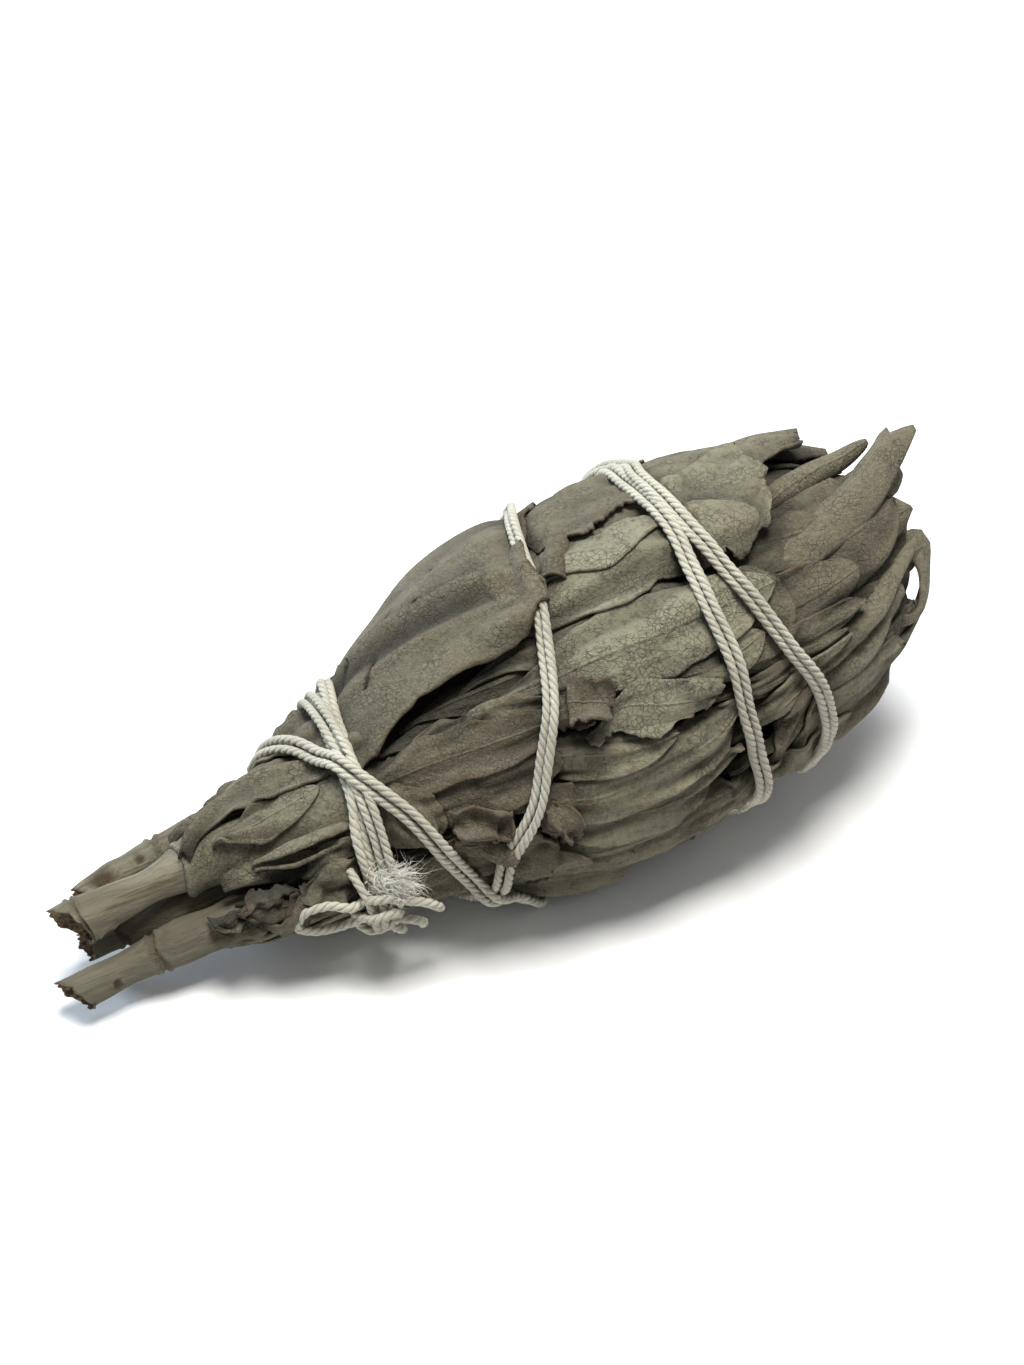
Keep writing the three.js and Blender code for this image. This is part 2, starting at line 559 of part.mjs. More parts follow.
// Lays a stretch of twine, pulled tight over what is there: [u, phi, d] of its middle at each step.
function layTwine(path) {
  const { at } = smoothPath(path);
  const fine = Array.from({ length: 1501 }, (_, k) => at(k / 1500));
  const run = [0];
  for (let k = 1; k < fine.length; k++) {
    run.push(run[k - 1] + place(...fine[k], 0).distanceTo(place(...fine[k - 1], 0)));
  }
  const steps = Math.round(run[run.length - 1] / TWINE_STEP);
  const line = [];
  for (let k = 0, i = 0; i <= steps; i++) {
    while (k < 1500 && run[k] < (run[run.length - 1] * i) / steps) k++;
    line.push(fine[k]);
  }
  const floor = line.map(([u, phi]) => highest(u, phi, 2) + TWINE_R + CLEAR - STRETCH);
  const d = [...floor];
  for (let pass = 0; pass < TAUT_PASSES; pass++) {
    for (let i = 1; i < steps; i++) d[i] = Math.max((d[i - 1] + d[i + 1]) / 2, floor[i]);
  }
  const laid = line.map(([u, phi], i) => [u, phi, d[i]]);
  takeGrid(laid.map(([u, phi, h]) => {
    const half = (2 * TWINE_R) / halfWidth(u) / DEG;
    return [[u, phi - half, h], [u, phi + half, h]];
  }), TWINE_R);
  return laid;
}

// Two strands side by side as one outline.
function pairOutline(grow) {
  const r = TWINE_R + grow;
  const far = TWINE_R + r;
  return [[TWINE_R, r], [far, 0], [TWINE_R, -r], [-TWINE_R, -r], [-far, 0], [-TWINE_R, r]];
}

function twineSolid(laid, grow) {
  const low = TWINE_R + LIFT;
  const points = laid.map(([u, phi, d]) => {
    const p = place(u, phi, d);
    p.z = Math.max(settled(p.z), low);
    return p;
  });
  const axis = laid.map(([u]) => new THREE.Vector3(u - LENGTH / 2, 0, axisHeight(u)));
  const outward = (i) => points[i].clone().sub(axis[i]).normalize();
  return rodAlong(points, outward, () => pairOutline(grow), TWINE_PART, LIFT - grow);
}

// The knot at the neck, with its bow loop, its cut ends and a short stub.
const KNOT = { at: [42.5, 101, 2.2], size: [3.4, 3.6, 2.6] };
const KNOT_CORDS = [
  { path: [[42, 94, 3.2], [38.5, 97, 3.4], [34.5, 104, 2.8], [33.2, 113, 2.2], [36, 119, 2.2], [40, 112, 2.6]], r: 0.75 },
  { path: [[43, 103, 2.6], [45.5, 110, 3.4], [48.5, 113, 3.2], [51.5, 112, 2.6]], r: 0.8 },
  { path: [[43, 92, 2.6], [46, 90, 3.6], [49.5, 92, 3.6], [53, 95, 2.8]], r: 1.1 },
  { path: [[41.5, 108, 2.2], [44, 118, 2.8], [46, 124, 2.4]], r: 0.8 },
];
const KNOT_STEPS = 7;

function knotSolid(grow) {
  const ball = new THREE.SphereGeometry(1, 10, 7);
  const [rx, ry, rz] = KNOT.size;
  ball.scale(rx + grow, ry + grow, rz + grow);
  const middle = place(...KNOT.at);
  ball.translate(middle.x, middle.y, middle.z);
  return KNOT_CORDS.reduce((knot, { path, r }) => {
    const { at } = smoothPath(path);
    const places = Array.from({ length: KNOT_STEPS + 1 }, (_, i) => at(i / KNOT_STEPS));
    const points = places.map((p) => place(...p));
    const out = places.map(([u, phi, d], i) => place(u, phi, d + 1).sub(points[i]).normalize());
    return knot.add(rodAlong(points, (i) => out[i], () => roundOutline(r + grow, ROLL_CORNERS)));
  }, solidOf(ball));
}

// The whole bunch, from the inside out. What is laid on other stems' leaves cuts its room out of them.
const core = packedLeaves();
const sprigs = STEMS.map(({ middle, line }) => quarterOf(core, middle).add(stemSolid(line, 0)));
STEMS.forEach(({ line }, own) => {
  takeStem(line);
  const room = stemSolid(line, CLEAR);
  sprigs.forEach((sprig, other) => {
    if (other !== own) sprigs[other] = sprig.subtract(room);
  });
});
for (const path of [TIE, LOW_TURNS, HIGH_TURNS]) pressGroove(path);

function addLeaf([path, width, height, style], n) {
  const grid = layLeaf(n, path, width, height, style);
  const roots = STEMS.map(({ middle }) => rooted(grid, middle));
  const count = roots.map((root) => root.flat().filter(Boolean).length);
  const own = count.indexOf(Math.max(...count));
  const leaf = leafSolid(grid, roots[own]);
  let room = leafSolid(grid, roots[own], CLEAR, CLEAR);
  if (!leaf.subtract(room).isEmpty()) room = room.add(leafSolid(grid, roots[own], CLEAR));
  sprigs.forEach((sprig, other) => {
    sprigs[other] = other === own ? sprig.add(leaf) : sprig.subtract(room);
  });
  takeGrid(grid, LEAF_THICK);
}

[...INNER_LEAVES, ...farLeaves(), ...HEAD_LEAVES, ...MIDDLE_LEAVES, ...NECK_LEAVES].forEach(addLeaf);
const tie = layTwine(TIE);
addLeaf(NECK_FLAP, 900);
const lowTurns = layTwine(LOW_TURNS);
const highTurns = layTwine(HIGH_TURNS);
addLeaf(BROAD_LEAF, 950);
for (const { middle, path, r } of ROLLS) {
  const own = STEMS.findIndex((stem) => stem.middle === middle);
  sprigs.forEach((sprig, other) => {
    sprigs[other] = other === own ? sprig.add(rollSolid(path, r, 0)) : sprig.subtract(rollSolid(path, r, CLEAR));
  });
}

const twineWith = (grow) =>
  [tie, lowTurns, highTurns].reduce((all, laid) => all.add(twineSolid(laid, grow)), knotSolid(grow));
const twine = largestBody(twineWith(0));
const twineRoom = twineWith(CLEAR);

const bunch = new THREE.Group();
bunch.position.set(-MIDDLE[0], -MIDDLE[1], 0);
function addPiece(name, colour, roughness, solid) {
  const material = new THREE.MeshStandardMaterial({ color: colour, roughness, metalness: 0 });
  const mesh = new THREE.Mesh(geometryOf(solid), material);
  mesh.name = name;
  bunch.add(mesh);
}
STEMS.forEach(({ name, colour }, i) => {
  const settledSprig = sprigs[i].subtract(twineRoom).trimByPlane([0, 0, 1], 0);
  addPiece(name, colour, 0.95, largestBody(settledSprig));
});
addPiece("cotton_twine", 0xc9c6b2, 0.9, twine);

export default bunch;
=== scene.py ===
import math

import bmesh
import bpy
import numpy as np
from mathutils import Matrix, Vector


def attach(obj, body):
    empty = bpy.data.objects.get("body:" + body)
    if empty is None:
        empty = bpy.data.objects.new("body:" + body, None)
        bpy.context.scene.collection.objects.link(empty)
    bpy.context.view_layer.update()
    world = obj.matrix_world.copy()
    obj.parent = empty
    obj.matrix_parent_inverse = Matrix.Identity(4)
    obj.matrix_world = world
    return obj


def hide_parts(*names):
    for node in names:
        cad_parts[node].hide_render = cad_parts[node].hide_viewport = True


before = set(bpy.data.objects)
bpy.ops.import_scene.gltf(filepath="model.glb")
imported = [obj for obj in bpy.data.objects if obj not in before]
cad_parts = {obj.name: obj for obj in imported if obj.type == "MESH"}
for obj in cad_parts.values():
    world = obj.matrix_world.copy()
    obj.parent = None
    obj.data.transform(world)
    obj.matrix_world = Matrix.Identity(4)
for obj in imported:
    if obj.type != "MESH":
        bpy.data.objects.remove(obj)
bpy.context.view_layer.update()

# A dried sage bunch. Sizes in the tables are millimetres. A place on the bunch is u, the distance from
# the cut stems, phi, the angle round it in degrees (0 on top, 90 towards -Y, 180 underneath), and d,
# the height above its outline.
MM = 0.001
LENGTH = 140.0
MIDDLE = np.array([-2.08, 0.649, 0.0])
HALF_WIDTHS = [(0, 7.0), (12, 7.8), (24, 9.4), (36, 11.7), (48, 15.4), (58, 19.2), (68, 23.2),
               (78, 25.5), (88, 26.1), (98, 25.5), (108, 23.6), (116, 21.6), (124, 19.4), (130, 16.4),
               (136, 11.0), (140, 4.0)]
FLATTEN = 0.93
THINNEST = 0.02
AXIS_AT_STEMS = 7.0
AXIS_RISE = 16.2 / 92
SETTLE = 3.0
INNER_DEPTH = 0.27
LEAF_THICK = 0.45
LEAF_GAP = 0.12
BROAD_LEAF_GAP = 0.2
LEAF_TUCK = 1.4
TWINE_R = 0.66
CORD_HALF = 1.3
GROOVE_DEPTH = 1.2
GROOVE_WIDE = 2.4
GAP_STARTS = 0.45
GAP_DARKENS = 1.9
BELOW_ALL = -20.0
FULL_TURN = 6.28
FIELD_LOW, FIELD_STEP, FIELD_ROWS, FIELD_TURN = -5.0, 0.5, 321, 360


def smooth_curve(x, points):
    """Values at x on the smooth curve through points."""
    px, py = np.array(points, float).T
    slope = np.gradient(py, px)
    x = np.asarray(x, float)
    i = np.clip(np.searchsorted(px, x) - 1, 0, len(px) - 2)
    h = px[i + 1] - px[i]
    t = np.clip((x - px[i]) / h, 0, 1)
    a, b = t * t * (3 - 2 * t), t * (1 - t)
    return py[i] * (1 - a) + py[i + 1] * a + h * b * (slope[i] * (1 - t) - slope[i + 1] * t)


def even_curve(values, count):
    """A number of values on the smooth curve through evenly spaced ones."""
    return smooth_curve(np.linspace(0, 1, count), list(zip(np.linspace(0, 1, len(values)), values)))


def half_width(u):
    """Half the width of the outline."""
    return smooth_curve(np.clip(u, 0, LENGTH), HALF_WIDTHS)


def place(u, phi, d):
    """Points in millimetres at u, phi and d."""
    u, a = np.asarray(u, float), np.radians(phi)
    w = half_width(u)
    x = u - LENGTH / 2 + 0 * a
    y = -np.maximum(w + d, THINNEST * w) * np.sin(a)
    z = AXIS_AT_STEMS + u * AXIS_RISE + np.maximum(FLATTEN * w + d, THINNEST * w) * np.cos(a)
    return np.stack([x, y, z], -1)


def settled(points):
    """The same points, pressed flat where they meet the surface below."""
    out = points.copy()
    z = out[..., 2]
    out[..., 2] = np.where(z < SETTLE, SETTLE * np.exp((np.minimum(z, SETTLE) - SETTLE) / SETTLE), z)
    return out


def chance(n):
    """A number from 0 to 1 that seems random and is always the same for n."""
    v = math.sin(n * 12.9898 + 4.1414) * 43758.5453
    return v - math.floor(v)


def any_turn(n):
    """An angle in radians that seems random and is always the same for n."""
    return FULL_TURN * chance(n)


def torn_edge(n, s):
    """An uneven edge along s."""
    luck = np.random.default_rng(n)
    return sum(far * np.interp(s, np.linspace(0, 1, count), luck.uniform(-1, 1, count))
               for count, far in ((7, 0.5), (16, 0.4), (37, 0.12)))


def along(path, s):
    """The smooth path at shares s of its length."""
    p = np.array(path, float)
    turn = np.radians(1) * half_width(p[:, 0]).mean()
    runs = np.hypot(np.diff(p[:, 0]), np.diff(p[:, 1]) * turn)
    knots = np.concatenate([[0], np.cumsum(runs)])
    knots /= knots[-1]
    return np.stack([smooth_curve(s, list(zip(knots, p[:, c]))) for c in range(p.shape[1])], -1)


def run_along(points):
    """How far along the line each of its points lies."""
    return np.concatenate([[0], np.cumsum(np.linalg.norm(np.diff(points, axis=0), axis=1))])


def running_mean(values, reach):
    """The mean of each value and of those up to reach places before and after it."""
    count = 2 * reach + 1
    return np.convolve(np.pad(values, reach, mode="edge"), np.ones(count) / count, "valid")


def mean_around(grid):
    """The mean of the four values beside each one."""
    wide = np.pad(grid, 1, mode="edge")
    return (wide[:-2, 1:-1] + wide[2:, 1:-1] + wide[1:-1, :-2] + wide[1:-1, 2:]) / 4


# What is laid already: its height all round the bunch, and the grooves that the twine presses.
rows_u = FIELD_LOW + FIELD_STEP * np.arange(FIELD_ROWS)
taken = np.repeat((-INNER_DEPTH * half_width(rows_u))[:, None], FIELD_TURN, 1)
grooves = np.zeros_like(taken)


def sample(grid, u, phi):
    """The value of the grid at u and phi, between its nearest cells."""
    fu = np.clip((np.asarray(u) - FIELD_LOW) / FIELD_STEP, 0, FIELD_ROWS - 1.001)
    fp = np.mod(phi, 360.0)
    i, j = fu.astype(int), fp.astype(int) % FIELD_TURN
    a, b = fu - i, fp - np.floor(fp)
    k = (j + 1) % FIELD_TURN
    first = grid[i, j] * (1 - a) + grid[i + 1, j] * a
    second = grid[i, k] * (1 - a) + grid[i + 1, k] * a
    return first * (1 - b) + second * b


def spread(grid, cells_u, cells_phi):
    """The highest value within some cells of each cell."""
    out = grid.copy()
    for k in range(1, cells_u + 1):
        out[k:] = np.maximum(out[k:], grid[:-k])
        out[:-k] = np.maximum(out[:-k], grid[k:])
    grid = out.copy()
    for k in range(1, cells_phi + 1):
        out = np.maximum(out, np.maximum(np.roll(grid, k, 1), np.roll(grid, -k, 1)))
    return out


def take_places(u, phi, d):
    """Takes the room under single places."""
    i = np.clip(np.round((u - FIELD_LOW) / FIELD_STEP).astype(int), 0, FIELD_ROWS - 1)
    np.maximum.at(taken, (i, np.mod(np.round(phi).astype(int), FIELD_TURN)), d)


def take(u, phi, d, fine=5):
    """Takes the room under a grid of places."""
    def finer(grid):
        a = np.linspace(0, grid.shape[0] - 1, (grid.shape[0] - 1) * fine + 1)
        b = np.linspace(0, grid.shape[1] - 1, (grid.shape[1] - 1) * fine + 1)
        grid = np.stack([np.interp(a, np.arange(grid.shape[0]), col) for col in grid.T], 1)
        return np.stack([np.interp(b, np.arange(grid.shape[1]), row) for row in grid], 0)
    take_places(finer(u), finer(phi), finer(d))


def press_groove(path):
    """Presses the groove of the twine along a path of (u, phi)."""
    pp = np.arange(FIELD_TURN)[None, :]
    best = np.full_like(taken, np.inf)
    w = half_width(rows_u)[:, None]
    for u, phi in along(path, np.linspace(0, 1, 500)):
        off = np.radians((pp - phi + 180) % 360 - 180) * w
        best = np.minimum(best, (rows_u[:, None] - u) ** 2 + off ** 2)
    np.maximum(grooves, GROOVE_DEPTH * np.exp(-best / GROOVE_WIDE ** 2), out=grooves)


# Materials.
class Finish:
    """A material whose nodes are added one by one."""

    def __init__(self, name, **surface):
        self.material = bpy.data.materials.new(name)
        self.material.use_nodes = True
        self.tree = self.material.node_tree
        self.surface = self.tree.nodes["Principled BSDF"]
        for key, value in surface.items():
            self.surface.inputs[key.replace("_", " ")].default_value = value
        self.spot = self.node("ShaderNodeTexCoord").outputs["Object"]

    def node(self, kind, settings=None, **inputs):
        made = self.tree.nodes.new(kind)
        for key, value in (settings or {}).items():
            setattr(made, key, value)
        for key, value in inputs.items():
            self.put(made.inputs[int(key[1:]) if key[1:].isdigit() else key.replace("_", " ")], value)
        return made

    def put(self, socket, value):
        if isinstance(value, bpy.types.NodeSocket):
            self.tree.links.new(value, socket)
        else:
            socket.default_value = value

    def math(self, kind, a, b=0.0):
        return self.node("ShaderNodeMath", {"operation": kind}, i0=a, i1=b).outputs[0]

    def times(self, a, b):
        return self.math("MULTIPLY", a, b)

    def plus(self, a, b):
        return self.math("ADD", a, b)

    def minus(self, a, b):
        return self.math("SUBTRACT", a, b)

    def scale(self, value, low, high, to_low=0.0, to_high=1.0):
        made = self.node("ShaderNodeMapRange", {"interpolation_type": "SMOOTHSTEP"}, Value=value)
        ends = {"From Min": low, "From Max": high, "To Min": to_low, "To Max": to_high}
        for key, number in ends.items():
            made.inputs[key].default_value = number
        return made.outputs[0]

    def noise(self, size, detail=3.0, rough=0.5, at=None):
        made = self.node("ShaderNodeTexNoise", Vector=at or self.spot, Scale=size, Detail=detail,
                         Roughness=rough)
        return made.outputs["Fac"]

    def mix(self, share, a, b):
        made = self.node("ShaderNodeMix", {"data_type": "RGBA"})
        for socket, value in ((made.inputs[0], share), (made.inputs[6], a), (made.inputs[7], b)):
            self.put(socket, (*value, 1) if isinstance(value, tuple) and len(value) == 3 else value)
        return made.outputs[2]

    def attribute(self, name):
        return self.node("ShaderNodeAttribute", {"attribute_name": name}).outputs["Fac"]

    def stretched(self, x, y, z):
        made = self.node("ShaderNodeMapping", Vector=self.spot)
        made.inputs["Scale"].default_value = (x, y, z)
        return made.outputs[0]

    def layer(self, share, colour):
        self.colour = self.mix(share, self.colour, colour)

    def finish(self, height, depth, strength):
        self.put(self.surface.inputs["Base Color"], self.colour)
        bump = self.node("ShaderNodeBump", Height=height, Distance=depth, Strength=strength)
        self.put(self.surface.inputs["Normal"], bump.outputs[0])
        return self.material


def sage_leaf_felt():
    """Grey-green felt with veins, specks and dry rims."""
    m = Finish("sage_leaf_felt", Roughness=0.93, Specular_IOR_Level=0.2, Sheen_Weight=0.06,
               Sheen_Roughness=0.6)
    tint, gap, rim, across, run = (m.attribute(k) for k in ("tint", "gap", "rim", "across", "run"))
    broad = m.noise(75, 4, 0.55)
    patch = m.noise(260, 5, 0.6)
    felt = m.noise(3200, 4, 0.7)
    grain = m.noise(1100, 4, 0.6)
    m.colour = m.mix(m.scale(broad, 0.35, 0.65), (0.172, 0.156, 0.100), (0.222, 0.204, 0.136))
    m.layer(m.times(m.scale(patch, 0.48, 0.72), 0.55), (0.150, 0.128, 0.080))
    m.layer(m.scale(tint, 0.0, 1.0), (0.104, 0.086, 0.055))
    m.layer(m.scale(tint, 0.0, -1.0), (0.262, 0.250, 0.172))
    m.layer(m.scale(felt, 0.42, 0.72, 0.0, 0.38), (0.305, 0.288, 0.208))
    m.layer(m.scale(grain, 0.47, 0.70, 0.0, 0.6), (0.085, 0.075, 0.05))
    # the net of small veins
    bent = m.node("ShaderNodeVectorMath", {"operation": "ADD"}, i0=m.spot)
    wander = m.node("ShaderNodeTexNoise", Vector=m.spot, Scale=500.0)
    shift = m.node("ShaderNodeVectorMath", {"operation": "SCALE"}, i0=wander.outputs["Color"])
    shift.inputs["Scale"].default_value = 0.0012
    m.put(bent.inputs[1], shift.outputs[0])
    net = m.node("ShaderNodeTexVoronoi", {"feature": "DISTANCE_TO_EDGE"}, Vector=bent.outputs[0],
                 Scale=1150.0)
    net_line = m.times(m.scale(net.outputs["Distance"], 0.065, 0.0), m.scale(m.noise(210, 4), 0.42, 0.6))
    m.layer(m.times(net_line, 0.2), (0.07, 0.058, 0.038))
    # midrib and side veins
    middle = m.math("ABSOLUTE", across)
    rib = m.scale(middle, 0.075, 0.0)
    slant = m.minus(m.times(run, 9.0), m.times(middle, 2.4))
    saw = m.math("ABSOLUTE", m.minus(m.math("FRACT", m.plus(slant, m.times(grain, 0.25))), 0.5))
    side_vein = m.times(m.scale(saw, 0.055, 0.0), m.scale(middle, 0.95, 0.45))
    m.layer(m.times(rib, 0.14), (0.26, 0.225, 0.15))
    m.layer(m.times(side_vein, 0.04), (0.22, 0.205, 0.14))
    # dark specks, brown dry rims and painted shade in deep gaps
    dots = m.node("ShaderNodeTexVoronoi", Vector=m.spot, Scale=520.0)
    chosen = m.scale(m.node("ShaderNodeSeparateColor", i0=dots.outputs["Color"]).outputs[0], 0.90, 0.93)
    speck = m.times(m.scale(dots.outputs["Distance"], 0.24, 0.10), chosen)
    m.layer(m.times(speck, 0.7), (0.075, 0.055, 0.035))
    dry = m.scale(m.plus(rim, m.times(patch, -1.6)), -0.35, -0.9)
    dry = m.times(dry, m.scale(tint, 0.15, 0.8, 0.12, 0.85))
    m.layer(dry, (0.095, 0.062, 0.036))
    # the crack's dark is painted shade; the dashes are brown marks
    m.layer(m.scale(m.attribute("mark"), 0.1, 0.6), (0.035, 0.022, 0.012))
    m.layer(m.times(gap, 0.9), (0.014, 0.012, 0.008))
    height = m.plus(m.times(felt, 0.6), m.times(grain, 1.1))
    height = m.minus(height, m.times(net_line, 0.55))
    height = m.plus(height, m.times(rib, 0.4))
    height = m.plus(height, m.times(side_vein, 0.12))
    height = m.plus(height, m.times(patch, 1.1))
    return m.finish(height, 0.00055, 0.95)


def dried_stem_bark():
    """Ridged bark, dark scars, painted shade on whole stems and the wood of the broken ends."""
    m = Finish("dried_stem_bark", Roughness=0.85, Specular_IOR_Level=0.25)
    scar, cut, shade = m.attribute("scar"), m.attribute("cut"), m.attribute("shade")
    grain = m.noise(1.0, 5, 0.6, m.stretched(90, 1500, 1500))
    streak = m.noise(1.0, 4, 0.6, m.stretched(45, 420, 420))
    patch = m.noise(190, 4, 0.6)
    m.colour = m.mix(m.scale(streak, 0.35, 0.68), (0.122, 0.106, 0.070), (0.205, 0.184, 0.130))
    m.layer(m.scale(patch, 0.45, 0.7, 0.0, 0.6), (0.150, 0.146, 0.110))
    m.layer(m.scale(grain, 0.5, 0.72, 0.0, 0.7), (0.06, 0.048, 0.03))
    # painted shade: the whole stem darker where it lies in shade
    m.layer(shade, (0.085, 0.076, 0.054))
    m.layer(m.times(scar, 0.85), (0.062, 0.038, 0.018))
    wood = m.noise(900, 5, 0.7)
    broken = m.mix(m.scale(wood, 0.4, 0.62), (0.055, 0.034, 0.018), (0.24, 0.165, 0.09))
    m.layer(cut, broken)
    height = m.plus(grain, m.times(patch, 1.2))
    height = m.plus(height, m.times(m.times(m.math("MAXIMUM", cut, scar), wood), 3.0))
    return m.finish(height, 0.0005, 1.0)


def cotton_yarn():
    """Undyed cotton, with painted shade between the plies."""
    m = Finish("cotton_yarn", Roughness=0.6, Specular_IOR_Level=0.3, Sheen_Weight=0.2)
    crest = m.attribute("crest")
    soil = m.noise(120, 3)
    fibre = m.noise(4200, 3, 0.7)
    m.colour = m.mix(m.scale(soil, 0.35, 0.7), (0.58, 0.552, 0.445), (0.43, 0.405, 0.318))
    m.layer(m.scale(fibre, 0.5, 0.8, 0.0, 0.3), (0.33, 0.305, 0.225))
    # painted shade in the valleys between the plies
    m.layer(m.scale(crest, 0.6, 0.0, 0.0, 0.7), (0.20, 0.18, 0.13))
    return m.finish(fibre, 0.0003, 0.9)


def inner_painted_shade():
    """Painted shade: the near-black inside of the bunch, where the inner leaves lie in shadow."""
    m = Finish("inner_painted_shade", Roughness=1.0)
    mottle = m.noise(700, 5, 0.7)
    m.colour = m.mix(m.scale(mottle, 0.4, 0.7), (0.012, 0.010, 0.007), (0.05, 0.042, 0.028))
    return m.finish(mottle, 0.0008, 1.0)


def loose_cotton_fluff():
    """Pale loose cotton of the tuft; part of its paleness is painted light, making up for the shade its
    fibres cast on one another.
    """
    m = Finish("loose_cotton_fluff", Roughness=0.9, Sheen_Weight=0.3)
    lint = m.noise(900, 3)
    m.colour = m.mix(m.scale(lint, 0.35, 0.7), (0.80, 0.78, 0.70), (0.62, 0.60, 0.52))
    return m.finish(lint, 0.0001, 0.3)


LEAF, BARK, YARN, INNER_PAINTED_SHADE = sage_leaf_felt(), dried_stem_bark(), cotton_yarn(), inner_painted_shade()
FLUFF = loose_cotton_fluff()


# Stems: a line of x, y, z and radius from the cut end.
STEMS = {
    "top": [(-69.1, 1.8, 11.7, 3.2), (-66.4, 1.9, 11.9, 3.3), (-50.5, 2.7, 13.1, 3.25),
            (-49.3, 2.8, 13.2, 3.7), (-34, 1.8, 16.5, 3.6), (-15, 0, 21, 3.0)],
    "front": [(-71.3, -4, 4.4, 2.7), (-57.4, -4, 6.3, 2.8), (-55.8, -4.1, 6.6, 3.1), (-48, -4.8, 7.6, 3.1),
              (-45, -5.3, 8, 3.5), (-41, -6, 8.5, 3.2), (-15, -9, 12, 2.6)],
    "back": [(-63.8, 7.2, 8.7, 2.6), (-57.5, 8.2, 9.5, 2.9), (-47.4, 9.4, 10.9, 2.8),
             (-30, 10.5, 12.6, 2.6), (-12, 11, 15, 2.4)],
    "under": [(-66, 3.2, 4.6, 2.1), (-49.5, 1.4, 7.6, 2.3), (-30, 0.5, 10, 2.3), (-12, 0, 12, 2.2)],
}
# The felted sheath that goes on from the ring of the top stem: x, y, z and radius.
SHEATH = [(-50.1, 2.7, 13.1, 3.6), (-49.5, 2.65, 13.2, 4.15), (-48.6, 2.55, 13.45, 3.95),
          (-44, 1.3, 14.8, 4.3), (-36, -1.9, 17.9, 4.6), (-29, -4.5, 20.8, 4.5), (-20, -5, 23, 3.0)]


def stem_line(line, s):
    """x, y, z and radius of a stem at shares s of its length."""
    line = np.array(line, float)
    first, last = line[0, 0], line[-1, 0]
    run = (line[:, 0] - first) / (last - first)
    y, z, r = (smooth_curve(s, list(zip(run, line[:, c]))) for c in (1, 2, 3))
    return first + (last - first) * s, y, z, r


def take_stem(line):
    """Takes the room of a stem, so that what is laid on it follows it."""
    x, y, z, r = stem_line(line, np.linspace(0, 1, 300)[:, None])
    a = np.radians(np.arange(0, 360, 4))[None, :]
    u = x + LENGTH / 2 + 0 * a
    across, up = y + r * np.sin(a), z + r * np.cos(a) - AXIS_AT_STEMS - u * AXIS_RISE
    phi = np.arctan2(-across, up)
    d = np.hypot(across, up) - half_width(u) * (1 - (1 - FLATTEN) * np.cos(phi) ** 2)
    take_places(u, np.degrees(phi), d)


def add_object(name, data):
    """A new object in the scene."""
    made = bpy.data.objects.new(name, data)
    bpy.context.scene.collection.objects.link(made)
    return made


class Sheaf:
    """Grids of points that become the surfaces of one piece."""

    def __init__(self, name, slot, material):
        self.name, self.slot, self.material = name, slot, material
        self.grids, self.spots = [], []

    def add(self, points, closed=False, where=None, **values):
        self.grids.append((points, closed, values))
        self.spots.append(where)

    def paint_gap_shade(self):
        """Painted shade: how deep each place lies under what is round it and below the outline, as the
        share of light that it loses.
        """
        near = (spread(leaf_tops, 3, 4) + spread(leaf_tops, 6, 8)) / 2
        for (_, _, values), where in zip(self.grids, self.spots):
            if where is not None:
                u, phi, d = where
                below = np.clip((sample(near, u, phi) - d - GAP_STARTS) / GAP_DARKENS, 0, 1)
                values["gap"] = 0.88 * below ** 0.8 + 0.2 * np.clip((-d - 1.5) / 3, 0, 1)

    def make(self, thick=0.0, replaced=()):
        """Makes the piece, with a thickness and with the solids that it takes the place of."""
        bm = bmesh.new()
        for points, _, _ in self.grids:
            rows, cols = points.shape[:2]
            bmesh.ops.create_grid(bm, x_segments=rows - 1, y_segments=cols - 1, size=1)
        mesh = bpy.data.meshes.new(self.name)
        bm.to_mesh(mesh)
        bm.free()
        flat = np.zeros(len(mesh.vertices) * 3, np.float32)
        mesh.vertices.foreach_get("co", flat)
        flat = flat.reshape(-1, 3)
        places = np.zeros_like(flat)
        names = sorted({key for _, _, values in self.grids for key in values})
        data = {key: np.zeros(len(flat), np.float32) for key in names}
        start = 0
        for points, closed, values in self.grids:
            rows, cols = points.shape[:2]
            count = rows * cols
            part = flat[start:start + count]
            i = np.round((part[:, 0] + 1) / 2 * (rows - 1)).astype(int)
            j = np.round((part[:, 1] + 1) / 2 * (cols - 1)).astype(int)
            places[start:start + count] = (points[i, j] - MIDDLE) * MM
            for key, grid in values.items():
                data[key][start:start + count] = np.broadcast_to(grid, (rows, cols))[i, j]
            start += count
        mesh.vertices.foreach_set("co", places.ravel())
        for key, value in data.items():
            mesh.attributes.new(key, "FLOAT", "POINT").data.foreach_set("value", value)
        mesh.update()
        if any(closed for _, closed, _ in self.grids):
            bm = bmesh.new()
            bm.from_mesh(mesh)
            bmesh.ops.remove_doubles(bm, verts=bm.verts, dist=2e-8)
            bm.to_mesh(mesh)
            bm.free()
        mesh.materials.append(self.material)
        mesh.polygons.foreach_set("use_smooth", [True] * len(mesh.polygons))
        piece = add_object(self.name, mesh)
        if thick:
            blade = piece.modifiers.new("blade", "SOLIDIFY")
            blade.thickness = thick * MM
            blade.offset = -1.0
        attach(piece, "root")
        if replaced:
            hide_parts(*replaced)


SIDES = ("top", "front", "under", "back")
leaves = {side: Sheaf("leaves_" + side, "sage_" + side, LEAF) for side in SIDES}


def sheaf_at(phi):
    """The leaves of the stem on whose side phi is."""
    return leaves[SIDES[int(((phi + 45) % 360) // 90)]]


def frames_along(points, outward):
    """The direction of a line at each point, the one to its side and the one outwards."""
    ahead = np.gradient(points, axis=0)
    ahead /= np.linalg.norm(ahead, axis=1)[:, None]
    side = np.cross(ahead, outward)
    side /= np.linalg.norm(side, axis=1)[:, None]
    return ahead, side, np.cross(side, ahead)


